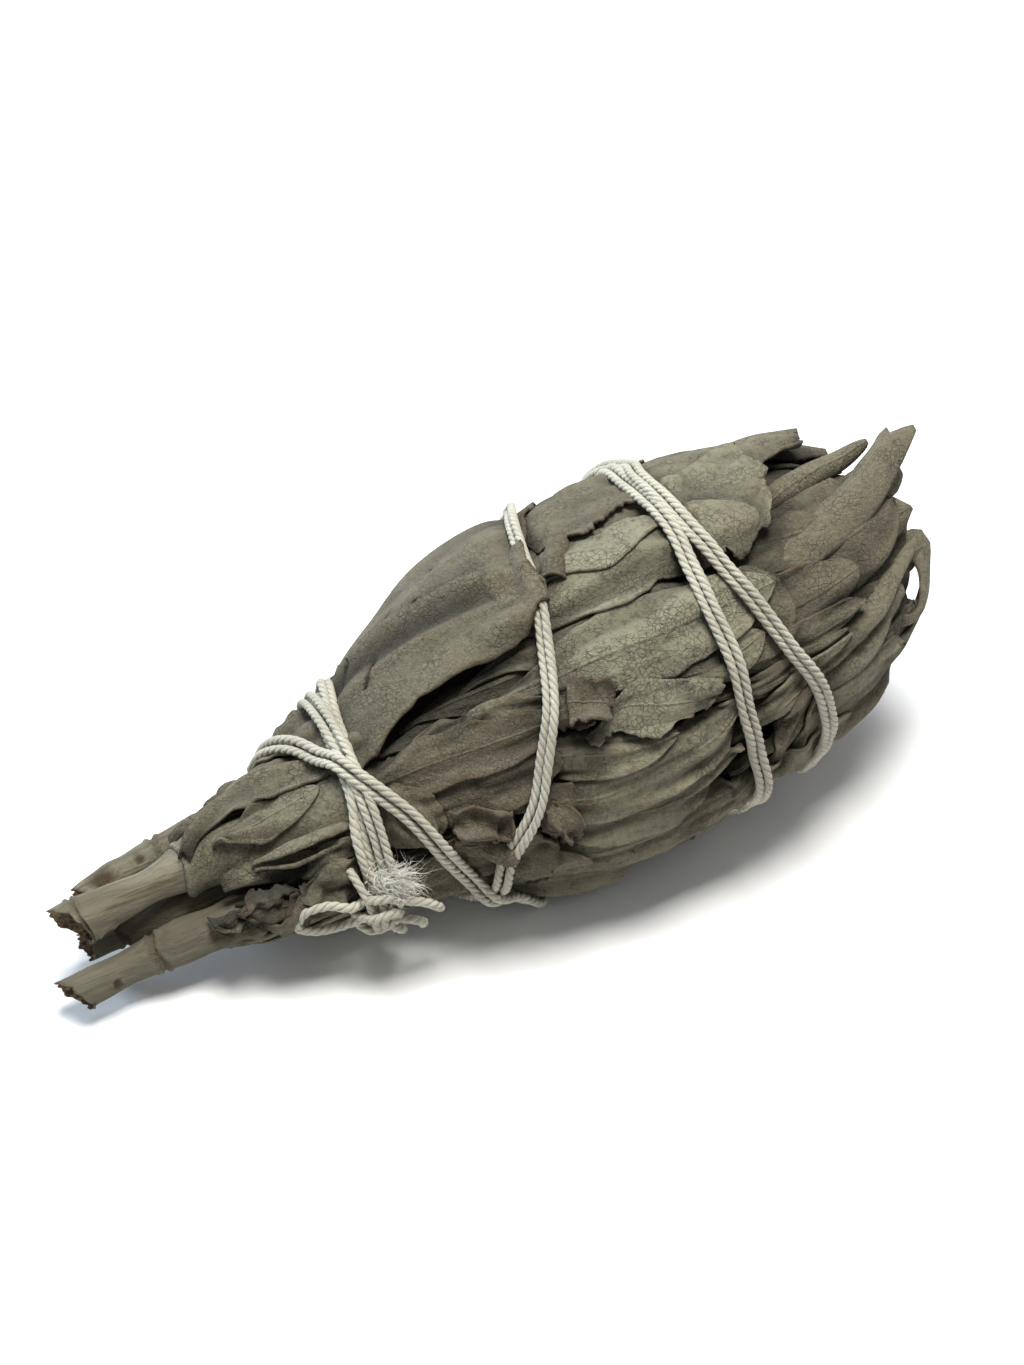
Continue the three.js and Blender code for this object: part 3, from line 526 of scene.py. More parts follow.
def tube(points, side, out, reach, angle):
    """Rings of points round a line."""
    way = np.cos(angle)[..., None] * out[:, None] + np.sin(angle)[..., None] * side[:, None]
    return points[:, None] + reach[..., None] * way


# Leaves.
def leaf_outline(s, petiole, widest, blunt):
    """The width of a leaf at shares s of its length, as a share of its greatest width."""
    up = np.clip(s / widest, 0, 1)
    down = np.clip((s - widest) / (1 - widest), 0, 1)
    base = petiole + (1 - petiole) * up * up * (3 - 2 * up)
    return base * np.maximum(1 - down ** (1.6 + blunt), 0) ** (0.75 - 0.25 * blunt) + 0.02


def leaf_shares(rows, cols):
    """Shares of the length from 0 to 1, and of the half width from -1 to 1."""
    return np.meshgrid(np.linspace(0, 1, rows), np.linspace(-1, 1, cols), indexing="ij")


def lay_leaf(n, path, width, d, tint=0.0, crown=1.3, fold=0.0, wave=0.25, ragged=0.03, tip=0.0, left=0.5,
             right=0.5, petiole=0.07, widest=0.45, blunt=0.5, crease=0.36, rows=48, cols=19):
    """Lays a leaf along a path of (u, phi) over what is there already."""
    s = np.linspace(0, 1, rows)
    t = np.sin(np.linspace(-1, 1, cols) * 1.25) / math.sin(1.25)
    line = along(path, s)
    w = half_width(line[:, 0]) + d
    du = np.gradient(line[:, 0])
    dp = np.gradient(np.radians(line[:, 1])) * w
    step = np.hypot(du, dp)
    du, dp = du / step, dp / step
    half = width / 2 * leaf_outline(s, petiole, widest, blunt)
    S, T = np.meshgrid(s, t, indexing="ij")
    torn = np.where(T < 0, torn_edge(n, S), torn_edge(n + 1, S)) * 1.5
    reach = half[:, None] * T * (1 + ragged * torn * np.abs(T) ** 4)
    U = np.minimum(line[:, 0:1] - reach * dp[:, None], LENGTH + 1.5)
    P = line[:, 1:2] + np.degrees(reach * du[:, None] / w[:, None])
    want = d + 1.65 * crown * (0.5 - np.abs(T) ** 2.2) + fold * np.exp(-(T / 0.13) ** 2)
    want += left * np.clip(-T, 0, 1) ** 5 * (1 + 0.8 * np.sin(11 * S + 6 * chance(n + 4)))
    want += right * np.clip(T, 0, 1) ** 5 * (1 + 0.8 * np.sin(13 * S + 6 * chance(n + 5)))
    want += tip * np.clip((S - 0.6) / 0.4, 0, 1) ** 2
    want += wave * np.sin((2.2 + 2 * chance(n)) * math.pi * S + any_turn(n + 1) + 1.3 * T)
    ripple = (6 + 5 * chance(n + 2)) * math.pi * S
    want += 0.5 * wave * np.sin(ripple + any_turn(n + 3) - 2.6 * T)
    for k in range(3):
        pull = 0.9 * np.sin(2.5 * S * math.pi + any_turn(n + 20 + k))
        folds = (2.3 + 2.1 * k + chance(n + 30 + k)) * math.pi * T
        want += crease * (0.9 - 0.22 * k) * np.sin(folds + pull + any_turn(n + 40 + k))
    want -= sample(grooves, U, P)
    floor = sample(spread(taken, 1, 1), U, P) + LEAF_GAP
    D = np.maximum(want, floor)
    D = np.maximum(D * 0.4 + mean_around(D) * 0.6, floor) + LEAF_THICK
    take(U, P, D)
    D = D - LEAF_TUCK * np.clip(1 - S / 0.09, 0, 1) ** 1.5
    rim = half[:, None] * (1 - np.abs(T))
    U, P, D, T, rim = (grid[:, ::-1] for grid in (U, P, D, T, rim))
    sheaf = sheaf_at(line[len(line) // 2, 1])
    sheaf.add(settled(place(U, P, D)), where=(U, P, D), tint=tint, rim=rim, across=T, run=S)


def span_leaf(n, stations, ragged, wave, rows=90, cols=40):
    """A broad leaf through stations along it, each a line of (u, phi, d) from one edge to the other."""
    lines = np.array(stations, float)
    down = [[even_curve(lines[:, j, c], rows) for j in range(lines.shape[1])] for c in range(3)]
    U, P, D = (np.array([even_curve(row, cols) for row in grid.T]) for grid in np.stack(down))
    S, T = leaf_shares(rows, cols)
    P = P + ragged * torn_edge(n, S) * np.clip(T, 0, 1) ** 4
    U = U + 0.3 * ragged * torn_edge(n + 1, T / 2 + 0.5) * np.clip((S - 0.6) / 0.4, 0, 1) ** 2
    D = D + wave * np.sin(5 * S + any_turn(n) + 4 * T)
    D = D + 0.5 * wave * np.sin(14 * S - 6 * T + any_turn(n + 1))
    D = D + 0.5 * wave * np.sin(3 * S + 15 * T + any_turn(n + 2))
    D = D - sample(grooves, U, P)
    floor = sample(spread(taken, 1, 1), U, P) + BROAD_LEAF_GAP
    D = np.maximum(D, floor)
    for _ in range(4):
        D = np.maximum(D * 0.4 + mean_around(D) * 0.6, floor)
    return U, P, D + LEAF_THICK - 1.3 * np.clip(1 - S / 0.12, 0, 1) ** 1.5


def put_spanned(sheaf, U, P, D, tint, width):
    """Adds a broad leaf to its sheaf."""
    S, T = leaf_shares(*U.shape)
    rim = width / 2 * np.minimum(1 - np.abs(T), 2 * (1 - S))
    sheaf.add(settled(place(U, P, D)), where=(U, P, D), tint=tint, rim=rim, across=T, run=S)


# How often and how far the edge of a free leaf goes in and out.
EDGE_RIPPLES = [(1, 0.5), (2.3, 0.3), (4.1, 0.2)]


def free_leaf(sheaf, n, path, width, bend, lean, tint=0.0, ragged=0.05, wave=0.15, petiole=0.5, widest=0.4,
              blunt=0.7, rows=54, cols=21, fork=0.0, lies=False, shade=None):
    """A leaf that has dried free of the others, curled or rolled round its length: path of (u, phi, d)."""
    s = np.linspace(0, 1, rows)
    line = along(path, s)
    if lies:
        line[:, 2] += running_mean(sample(spread(taken, 1, 1), line[:, 0], line[:, 1]), 6)
    points = place(line[:, 0], line[:, 1], line[:, 2])
    ahead, side, out = frames_along(points, place(line[:, 0], line[:, 1], line[:, 2] + 1) - points)
    bend, lean = (np.radians(np.interp(s, *zip(*v)) if isinstance(v, list) else np.full(rows, v))
                  for v in (bend, lean))
    side, out = (side * np.cos(lean)[:, None] + out * np.sin(lean)[:, None],
                 out * np.cos(lean)[:, None] - side * np.sin(lean)[:, None])
    half = width / 2 * leaf_outline(s, petiole, widest, blunt)
    half = half + 0.6 * fork * np.clip((s - 0.85) / 0.15, 0, 1) ** 2
    S, T = leaf_shares(rows, cols)
    torn = sum(far * np.sin(often * S * 9 + any_turn(n + k) + T)
               for k, (often, far) in enumerate(EDGE_RIPPLES))
    reach = half[:, None] * T * (1 + ragged * torn * np.abs(T) ** 3)
    turn = np.maximum(np.abs(bend), 0.05)[:, None] * np.sign(bend + 1e-9)[:, None]
    radius = half[:, None] / turn * (1 + 0.10 * np.abs(T) * np.clip(np.abs(turn) / math.pi, 0, 1))
    angle = reach / half[:, None] * turn
    across = radius * np.sin(angle)
    rise = radius * (np.cos(angle) - 1) + wave * np.sin(7 * S + any_turn(n) + 2 * T)
    rise = rise + 0.4 * wave * np.sin(19 * S + any_turn(n + 1) - 3 * T)
    further = fork * np.abs(T) * np.clip((S - 0.8) / 0.2, 0, 1) ** 2
    grid = points[:, None] + across[..., None] * side[:, None] + rise[..., None] * out[:, None]
    grid = grid + further[..., None] * ahead[:, None]
    U, P, D = (np.broadcast_to(line[:, c:c + 1], T.shape) for c in range(3))
    rim = half[:, None] * (1 - np.abs(T))
    # A free leaf gets its painted gap shade from how deep it lies, unless a fixed painted shade is given.
    where, gap = ((U, P, D + 2.0), 0.0) if shade is None else (None, shade)
    sheaf.add(settled(grid), where=where, tint=tint, rim=rim, across=T, run=S, gap=gap)


# Leaves that the stems carry inwards and those of the far side, in tiers: where a tier starts, how long
# its leaves are, their number and their height.
INNER_TIERS = [(26, 60, 8, -5.6), (50, 62, 9, -5.0), (72, 60, 9, -4.2)]
FAR_TIERS = [(24, 50, 6, -1.6), (46, 54, 7, -1.2), (66, 54, 7, -0.8), (86, 44, 7, -0.5)]


def inner_tiers():
    """Lays the inner leaves all round the bunch."""
    n = 100
    for tier, (start, long, count, d) in enumerate(INNER_TIERS):
        for k in range(count):
            n += 1
            phi = 360.0 * k / count + 13 * tier + 10 * (chance(n) - 0.5)
            a = start + 8 * (chance(n + 50) - 0.5)
            b = min(a + long * (0.85 + 0.3 * chance(n + 90)), 130 - 3 * chance(n))
            turn = 22 * (chance(n + 20) - 0.5)
            path = [(a, phi), ((a + b) / 2, phi + turn / 2), (b, phi + turn)]
            lay_leaf(n, path, 14 + 4 * chance(n + 30), d, tint=chance(n + 60) - 0.6, crown=1.0, wave=0.5,
                     rows=40, cols=13)


def far_tiers():
    """Lays the leaves of the back and the underside."""
    n = 300
    for tier, (start, long, count, d) in enumerate(FAR_TIERS):
        for k in range(count):
            n += 1
            phi = 128 + 172 * (k + 0.5 * (tier % 2)) / count + 8 * (chance(n) - 0.5)
            a = start + 9 * (chance(n + 50) - 0.5)
            b = min(a + long * (0.8 + 0.35 * chance(n + 90)), 134 - 5 * chance(n))
            turn = 24 * (chance(n + 20) - 0.5)
            path = [(a, phi), ((a + b) / 2, phi + turn * 0.4), (b, phi + turn)]
            lay_leaf(n, path, 11 + 6 * chance(n + 30), d, tint=1.4 * chance(n + 60) - 0.7, crown=1.0,
                     wave=0.5, ragged=0.15, fold=0.5 - chance(n + 5), tip=1.0 * chance(n + 8))


# Single leaves of the head, the middle and the neck: path, width, height above the outline, tint and how
# the leaf has dried. Each later leaf lies on the ones before it.
HEAD = [
    ([(108, -20), (118, -16), (129, -6)], 13, -6.5, 0.7),
    ([(108, 150), (118, 150), (128, 140)], 14, -6.0, 0.8),
    ([(108, 200), (118, 205), (129, 215)], 14, -6.0, 0.6),
    ([(106, 250), (118, 255), (130, 270)], 14, -6.0, 0.8),
    ([(106, 300), (118, 310), (131, 330)], 14, -5.0, 0.5),
    ([(106, 110), (120, 100), (132, 80)], 13, -6.8, 0.8),
    ([(104, 40), (116, 44), (127, 46)], 15, -4.2, 0.9),
    ([(104, 62), (116, 60), (128, 54)], 15, -4.6, 0.4),
    ([(104, 84), (116, 80), (128, 76)], 14, -4.6, 0.6),
    ([(104, 10), (116, 14), (126, 20)], 15, -4.2, 0.4),
    ([(98, -60), (116, -58), (132, -50)], 14, -1.6, 0.7, dict(ragged=0.12, blunt=1.0)),
    ([(96, 104), (114, 106), (132, 102)], 15, -2.0, 0.2),
    ([(94, 108), (112, 114), (126, 118), (134, 116)], 13, -0.6, 0.4, dict(ragged=0.15)),
    ([(100, 30), (112, 34), (121, 33), (131, 24)], 14, -1.2, 1.0,
     dict(crown=0.6, blunt=1.0, wave=0.3, left=0.6)),
    ([(92, 12), (100, 16), (108, 22), (117, 26)], 10, -1.4, 0.9),
    ([(88, 40), (98, 44), (108, 47), (119, 46)], 10, -0.9, 0.65, dict(blunt=0.7)),
    ([(88, 30), (97, 33), (101, 42), (104, 53)], 10, -0.5, 0.6, dict(blunt=1.0, widest=0.6)),
    ([(88, 52), (96, 54), (102, 57), (112, 59), (118, 58)], 6, -0.4, 0.6, dict(crown=1.8)),
    ([(90, 60), (98, 64), (106, 66), (114, 64)], 5, -0.5, 0.5, dict(crown=1.6)),
    ([(92, 78), (101, 74), (109, 72), (117, 70)], 6.5, -0.4, 0.2, dict(crown=1.8)),
    ([(92, 92), (104, 90), (116, 92), (126, 96)], 9, -0.5, 0.2, dict(crown=1.4)),
    ([(98, 96), (101, 86), (105, 76), (108, 72)], 4.5, -0.2, 0.7, dict(crown=1.8)),
    ([(101, 103), (105, 94), (107, 84), (108, 77)], 4.5, 0.0, 0.3, dict(crown=1.8)),
    ([(88, 104), (104, 106), (116, 112)], 9, -0.6, 0.2),
    ([(98, -60), (110, -66), (124, -60)], 14, -0.8, 1.1, dict(ragged=0.12)),
    ([(92, -34), (104, -37), (115, -36), (125, -28)], 18, 0.1, 0.4,
     dict(ragged=0.25, right=0.9, blunt=0.4, tip=0.5)),
]
MIDDLE_LEAVES = [
    ([(44, 30), (52, 22), (58, 16), (66, 19), (72, 24)], 4.5, -4.4, -0.5, dict(crown=1.6)),
    ([(46, 14), (54, 20), (60, 25), (66, 25), (74, 24)], 4, -3.6, -0.7, dict(crown=1.8)),
    ([(52, 10), (58, 15), (64, 20), (72, 23), (84, 24)], 6, -2.4, -0.4, dict(crown=1.6)),
    ([(72, -72), (84, -68), (96, -64), (108, -66)], 15, -0.6, 0.2),
    ([(60, 14), (69, 15), (76, 18), (85, 22), (98, 29)], 10, -1.2, -0.4),
    ([(52, 60), (57, 62), (63, 70)], 8, -1.2, 0.7, dict(ragged=0.2, wave=0.7, crease=0.7)),
    ([(50, 72), (56, 76), (62, 80)], 9, -0.9, 0.8, dict(ragged=0.2, wave=0.7, crease=0.8)),
    ([(46, 78), (52, 84), (58, 90), (66, 92)], 10, -1.2, 0.5),
    ([(48, 112), (64, 115), (80, 118), (95, 116)], 13, -1.0, 0.4, dict(ragged=0.2)),
    ([(56, 106), (67, 104), (78, 107), (92, 108), (98, 100)], 8, -0.8, 0.4, dict(ragged=0.22)),
    ([(56, 96), (65, 94), (75, 95), (86, 98), (96, 98)], 8.5, -0.2, 0.5, dict(crown=1.7, fold=0.6)),
    ([(58, 76), (65, 79), (74, 83), (84, 86), (94, 80)], 8, -0.5, 0.35, dict(crown=1.5)),
    ([(58, 64), (65, 68), (72, 72), (79, 72), (87, 71), (95, 65)], 9.5, -0.1, 0.15,
     dict(crown=1.5, ragged=0.16, blunt=0.9)),
    ([(58, 50), (68, 54), (75, 60), (84, 63)], 6.5, -0.3, -0.3, dict(crown=1.6)),
    ([(66, 38), (76, 42), (84, 47), (92, 50), (100, 48)], 8.5, -0.8, -0.2, dict(crown=1.4)),
    ([(60, 27), (70, 30), (79, 32), (88, 34), (96, 35), (104, 36)], 11.5, 0.1, -0.75,
     dict(crown=1.5, widest=0.5, ragged=0.12)),
    ([(66, 6), (75, 8), (83, 6), (91, 5), (99, 10), (106, 14)], 13, 0.3, -0.7,
     dict(crown=2.2, fold=-0.35, blunt=0.8, ragged=0.09)),
    ([(66, -62), (76, -58), (86, -46)], 13, -0.8, 0),
    ([(70, 0), (78, -8), (88, -12), (101, -12)], 18, -0.1, -0.7,
     dict(crown=1.0, crease=0.4, petiole=0.1)),
    ([(38, 100), (48, 100), (58, 98), (70, 98)], 11, -0.8, 0.5),
    ([(58, 60), (64, 66), (66, 76), (66, 86)], 6.5, 0.5, 0.9,
     dict(crown=1.0, ragged=0.4, wave=0.6, crease=0.6)),
    ([(60, 74), (61.5, 84), (61.5, 95), (60, 106)], 6.5, 0.4, 0.9,
     dict(crown=1.0, ragged=0.4, wave=0.6, crease=0.6)),
    ([(41, 46), (48, 49), (55, 50), (61, 53), (68, 56)], 9.5, 0.0, 1.0,
     dict(crown=1.5, ragged=0.16, crease=0.4)),
    ([(47, 30), (54, 28), (59, 30), (64, 34), (70, 37)], 5, 0.2, 0.35,
     dict(crown=0.9, wave=0.5, ragged=0.25, left=1.2)),
    ([(40, 28), (46, 33), (53, 36), (59, 39), (65, 41), (71, 42)], 7, 0.5, 1.0,
     dict(crown=1.6, ragged=0.14, left=1.1)),
    ([(69, 40), (72, 42), (75, 44)], 5, 0.9, 1.0,
     dict(crown=0.9, ragged=0.3, petiole=0.7, blunt=1.0, widest=0.5, wave=0.5)),
]
NECK = [
    ([(20, -54), (28, -50), (36, -42), (46, -34)], 11, -1.0, 0.6, dict(crease=0.6, wave=0.6)),
    ([(24, 0), (28, 9), (33, 14), (39, 15)], 5, -0.6, 0.3, dict(crown=0.8, left=0.8, right=0.8)),
    ([(33, 67), (37, 63), (43, 64)], 6, -0.3, -0.3),
    ([(20, 78), (25, 80), (31, 84)], 5, -0.4, 0.9, dict(ragged=0.3, wave=0.7, crease=0.8)),
    ([(23, 70), (27, 74), (32, 76)], 4.5, 0.0, 0.8, dict(ragged=0.3, wave=0.7, crease=0.8)),
    ([(27, 88), (31, 86), (36, 88)], 5, 0.0, 0.8, dict(ragged=0.3, wave=0.7, crease=0.8)),
    ([(26, 84), (34, 88), (44, 90)], 8, -0.8, 0.7, dict(wave=0.5, crease=0.6)),
    ([(31, 72), (36, 74), (44, 76)], 6, -0.5, 0.4, dict(ragged=0.15)),
    ([(20, -8), (23, -22), (28, -29), (34, -21), (39, -9), (46, 4)], 8.5, -0.2, 0.35,
     dict(crown=1.0, fold=1.1, petiole=0.25, widest=0.6, crease=0.15)),
    ([(33, -50), (40, -44), (48, -34)], 9, -0.4, 0, dict(left=0.8)),
]
NECK_FLAP = ([(45.5, 37), (46.6, 46), (47.6, 54), (48.6, 62), (49.6, 70)], 8, 1.8, 0.7,
             dict(petiole=0.5, blunt=1.0, crown=2.2, left=1.2, crease=0.5))
JAGGED_LEAF = [
    [(80, -50, 1.4), (79.5, -34, 1.7), (79.2, -20, 1.4), (79, -9, 0.7)],
    [(84, -50, 1.2), (84, -32, 1.6), (84, -18, 1.3), (83.5, -7.5, 0.9)],
    [(90, -50, 0.8), (89.5, -34, 1.4), (89, -20, 1.1), (88.5, -8.5, 0.9)],
    [(98, -50, 0.2), (97, -36, 0.9), (96, -24, 0.8), (94.5, -13, 0.9)],
]
PALE_LEAF = [
    [(72, 52, 0.4), (72.2, 53.5, 0.5), (72.4, 55, 0.4)],
    [(79, 42.5, 1.3), (77.4, 48, 1.0), (75.5, 55, 1.0)],
    [(85, 47, 1.0), (83.2, 53, 1.2), (81.8, 60, 1.0)],
    [(91.5, 53, 0.5), (90.5, 58, 0.8), (88.5, 61, 0.7)],
]
STAR_LEAF = [
    [(98.5, -14, -1.0), (98, -2, -1.0), (97.8, 12, -1.0), (99, 22, -1.0)],
    [(101, -16, 0.3), (101, -3, 0.6), (99.5, 12, 0.6), (100, 23, 0.2)],
    [(106, -20, 0.6), (105, -6, 0.9), (103.5, 8, 0.8), (101.5, 22, 0.7)],
    [(112, -27, 0.6), (111, -12, 1.1), (108.5, 6, 1.2), (105.2, 20, 1.1)],
    [(114, -26, 0.6), (112.8, -14, 1.1), (113.6, -4, 1.4), (107, 18, 1.4)],
]
BROAD_LEAF = [
    [(38, -80, -1.2), (38, -56, -1.0), (39, -30, -0.8), (41, 0, -0.6), (42.5, 24, -1.0)],
    [(45, -92, 0.2), (45, -60, 0.5), (45.5, -34, 0.9), (46, -6, 1.0), (46.5, 21, 0.1)],
    [(51, -94, 0.8), (51, -60, 1.9), (51.5, -34, 2.2), (52, -10, 2.0), (52.6, 13, 1.3)],
    [(58, -94, 1.6), (58, -60, 3.2), (58.5, -34, 3.2), (59, -10, 2.4), (59.5, 11, 1.8)],
    [(66, -92, 2.2), (65.5, -58, 4.2), (65.5, -34, 3.6), (66, -10, 2.4), (66.4, 14, 1.6)],
    [(78, -86, 2.0), (76, -56, 3.4), (73, -32, 2.8), (71.5, -8, 2.0), (72.1, 12.5, 1.4)],
    [(91, -85, 1.0), (87, -52, 1.6), (81, -30, 1.7), (76, -8, 1.5), (74.9, 9, 1.4)],
]

# The twine: two strands that go side by side, as paths of (u, phi). It is tied round the neck, wound up to
# the head and wound back down to the knot. Its strands are closest between two angles of the way up.
TIE = [(42, 100), (43, 160), (45, 230), (46.5, 305), (44, 350), (42.3, 391), (41, 420), (42, 460),
       (44, 520), (47, 590), (48.7, 664), (45.2, 706), (43.5, 738), (41.2, 770), (42, 820)]
LOW_TURNS = [(43, 1905), (43.5, 1800), (45.5, 1740), (50, 1680), (55.4, 1610), (57.8, 1553),
             (58.5, 1523), (61.9, 1509), (64.9, 1494), (68.6, 1476), (70.9, 1464), (72.9, 1451),
             (75.4, 1432), (77.6, 1418), (83.0, 1390), (85, 1375), (92, 1310), (97, 1240), (97.4, 1190),
             (95.2, 1162), (94.1, 1147), (93.8, 1130), (93.3, 1112), (94.3, 1092), (95.0, 1068),
             (97.4, 1034), (101, 1000), (108, 930), (111.4, 860)]
HIGH_TURNS = [(111.4, 860), (109.2, 818), (106.0, 792), (102.5, 775), (98.7, 751), (96.2, 729),
              (96.6, 703), (100.4, 676), (99, 660), (90, 600), (76, 540), (64.5, 491), (57, 470),
              (51.1, 437), (47.3, 411), (42.8, 384), (39.4, 345), (36, 306), (38, 250), (41, 180),
              (43, 105)]
CLOSE_STRANDS = (1380, 1535)
YARN_STEP = 0.34
YARN_PITCH = 3.9
YARN_SIDES = 18
STRETCH = 0.3
TWINE_LOWEST = TWINE_R + 0.1


def twist_yarn(sheaf, points, outward, radius, start, taper=1.0):
    """A three-ply strand along points."""
    _, side, out = frames_along(points, outward)
    run = run_along(points)
    turn = 2 * math.pi * run / YARN_PITCH + start + 0.35 * np.sin(run / 3.1 + start)
    corner = np.linspace(0, 2 * math.pi, YARN_SIDES + 1)
    lobe = np.abs(np.sin(1.5 * corner))
    thick = radius * taper * (1 + 0.05 * np.sin(run / 2.3 + 2 * start))
    reach = (0.76 + 0.24 * lobe ** 0.8)[None, :] * thick[:, None]
    grid = tube(points, side, out, reach, corner[None, :] - turn[:, None])
    grid[:, -1] = grid[:, 0]
    sheaf.add(grid[:, ::-1], closed=True, crest=lobe[::-1])


def lay_twine(sheaf, path, start, close=(0, 0)):
    """Pulls the doubled twine tight over what is there. Its strands are closest between two angles."""
    line = along(path, np.linspace(0, 1, 4000))
    run = run_along(place(line[:, 0], line[:, 1], 0))
    count = int(run[-1] / YARN_STEP)
    at = np.linspace(0, run[-1], count)
    u, phi = np.interp(at, run, line[:, 0]), np.interp(at, run, line[:, 1])
    floor = sample(spread(taken, 3, 4), u, phi) + TWINE_R - STRETCH
    window = int(1.6 / YARN_STEP)
    d = np.array([floor[max(0, i - window):i + window + 1].mean() for i in range(count)])
    for _ in range(20):
        mean = (np.roll(d, 1) + np.roll(d, -1)) / 2
        mean[0], mean[-1] = d[0], d[-1]
        d = np.maximum(mean, floor - 0.35)
    d = running_mean(d, 3)
    w = half_width(u)
    du, dp = np.gradient(u), np.gradient(np.radians(phi)) * w
    size = np.hypot(du, dp)
    apart = TWINE_R * (0.84 + 0.19 * np.sin(at / 9.0 + 3 * start))
    apart = np.where((phi > close[0]) & (phi < close[1]), TWINE_R * 0.58, apart)
    apart = running_mean(apart, 20)
    rise = 1.6 * np.sqrt(np.maximum(TWINE_R ** 2 - apart ** 2, 0))
    for side in (-1, 1):
        off = side * apart
        uu, pp = u - off * dp / size, phi + np.degrees(off * du / size / w)
        over = d + (0.5 + 0.5 * side) * rise
        points = settled(place(uu, pp, over))
        outward = place(uu, pp, over + 1) - place(uu, pp, over)
        points[:, 2] = np.maximum(points[:, 2], TWINE_LOWEST)
        twist_yarn(sheaf, points, outward, TWINE_R, start + side)
    half, top = np.degrees(CORD_HALF / w), d + TWINE_R
    take(np.stack([u, u], 1), np.stack([phi - half, phi + half], 1), np.stack([top, top], 1), 3)


def fold_broad_leaf(u, phi, d):
    """The height of the broad leaf with the ridge and the crease that run along it."""
    ridge = np.interp(u, (44, 54, 63, 73, 79), (-50, -36, -20, -6, 2))
    crease = np.interp(u, (46, 54, 62, 70, 78), (-24, -16, -7, 0, 6))
    d = d + 1.7 * np.exp(-np.abs(phi - ridge) / 1.9) - 0.8 * np.exp(-((phi - ridge - 9) / 5) ** 2)
    d = d + 0.9 * np.exp(-np.abs(phi - crease) / 1.5)
    return d - 0.35 * np.exp(-((phi + 66 - 0.3 * u) / 6) ** 2)


def lift_over_twine(u, phi, d, tip):
    """The height of the broad leaf where its tip lies on the twine."""
    twine_tops = np.where(taken > leaf_tops + 0.05, taken, BELOW_ALL)
    lift = np.clip(sample(spread(twine_tops, 1, 1), u, phi) + 0.3 + LEAF_THICK - d, 0, None)
    lift = np.where(tip, lift, 0.0)
    for _ in range(14):
        lift = np.maximum(lift, 0.96 * mean_around(lift))
    return d + np.where(tip, lift, 0.0)


# The crack in the broad leaf, darkened with painted shade, and the brown dashes on it: from (u, phi) to (u,
# phi), and half the width.
BROAD_LEAF_MARKS = [
    ((54.0, -25.5), (50.7, -14), 0.55),
    ((57.5, -37), (59.5, -39), 0.5),
    ((61.5, -27), (62.3, -28.5), 0.45),
    ((66.5, -36), (67.5, -39), 0.35),
    ((46, -30), (52.5, -40), 0.3),
]
DEGREES_PER_MM = 3
MARK_DEPTH = 0.7


def mark_leaf(u, phi):
    """How strongly each place of the broad leaf is marked."""
    marks = np.zeros_like(u)
    for a, b, wide in BROAD_LEAF_MARKS:
        run_u, run_phi = b[0] - a[0], (b[1] - a[1]) / DEGREES_PER_MM
        off_u, off_phi = u - a[0], (phi - a[1]) / DEGREES_PER_MM
        share = np.clip((off_u * run_u + off_phi * run_phi) / (run_u ** 2 + run_phi ** 2), 0, 1)
        far = np.hypot(off_u - share * run_u, off_phi - share * run_phi)
        marks = np.maximum(marks, np.clip(1.3 - far / wide, 0, 1))
    return marks


# The bunch is laid from the inside outwards: stems, leaves, broad leaves and twine.
for line in [*STEMS.values(), SHEATH]:
    take_stem(line)
for stretch in (TIE, LOW_TURNS, HIGH_TURNS):
    press_groove(stretch)
inner_tiers()
far_tiers()
for k, (path, width, d, tint, *style) in enumerate(HEAD + MIDDLE_LEAVES + NECK):
    lay_leaf(500 + 3 * k, path, width, d, tint, **dict(*style))
jagged = span_leaf(44, JAGGED_LEAF, 6.5, 0.35)
take(*jagged)
star = span_leaf(60, STAR_LEAF, 4.5, 0.35)
take(*star)
pale = span_leaf(70, PALE_LEAF, 3.5, 0.12, 50, 30)
take(*pale)
broad_u, broad_phi, broad_d = span_leaf(80, BROAD_LEAF, 5.0, 0.3, 104, 64)
broad_d = fold_broad_leaf(broad_u, broad_phi, broad_d)
broad_tip = (broad_u > 68) & (broad_phi > -14)
take(broad_u, broad_phi, np.where(broad_tip, BELOW_ALL, broad_d))
leaf_tops = taken.copy()
put_spanned(leaves["top"], *jagged, 0.55, 16)
put_spanned(leaves["top"], *star, 0.0, 18)
put_spanned(leaves["front"], *pale, -0.5, 9)
neck_tie = Sheaf("twine_neck_tie", "cotton_twine", YARN)
lay_twine(neck_tie, TIE, 0.3)
lay_leaf(900, *NECK_FLAP[:4], **NECK_FLAP[4])
wrap = Sheaf("twine_wrap", "cotton_twine", YARN)
lay_twine(wrap, LOW_TURNS, 1.1, CLOSE_STRANDS)
lay_twine(wrap, HIGH_TURNS, 2.3)
marks = mark_leaf(broad_u, broad_phi)
broad_d = lift_over_twine(broad_u, broad_phi, broad_d, broad_tip) - MARK_DEPTH * marks
put_spanned(leaves["top"], broad_u, broad_phi, broad_d, 0.62, 26)
leaves["top"].grids[-1][2]["mark"] = marks

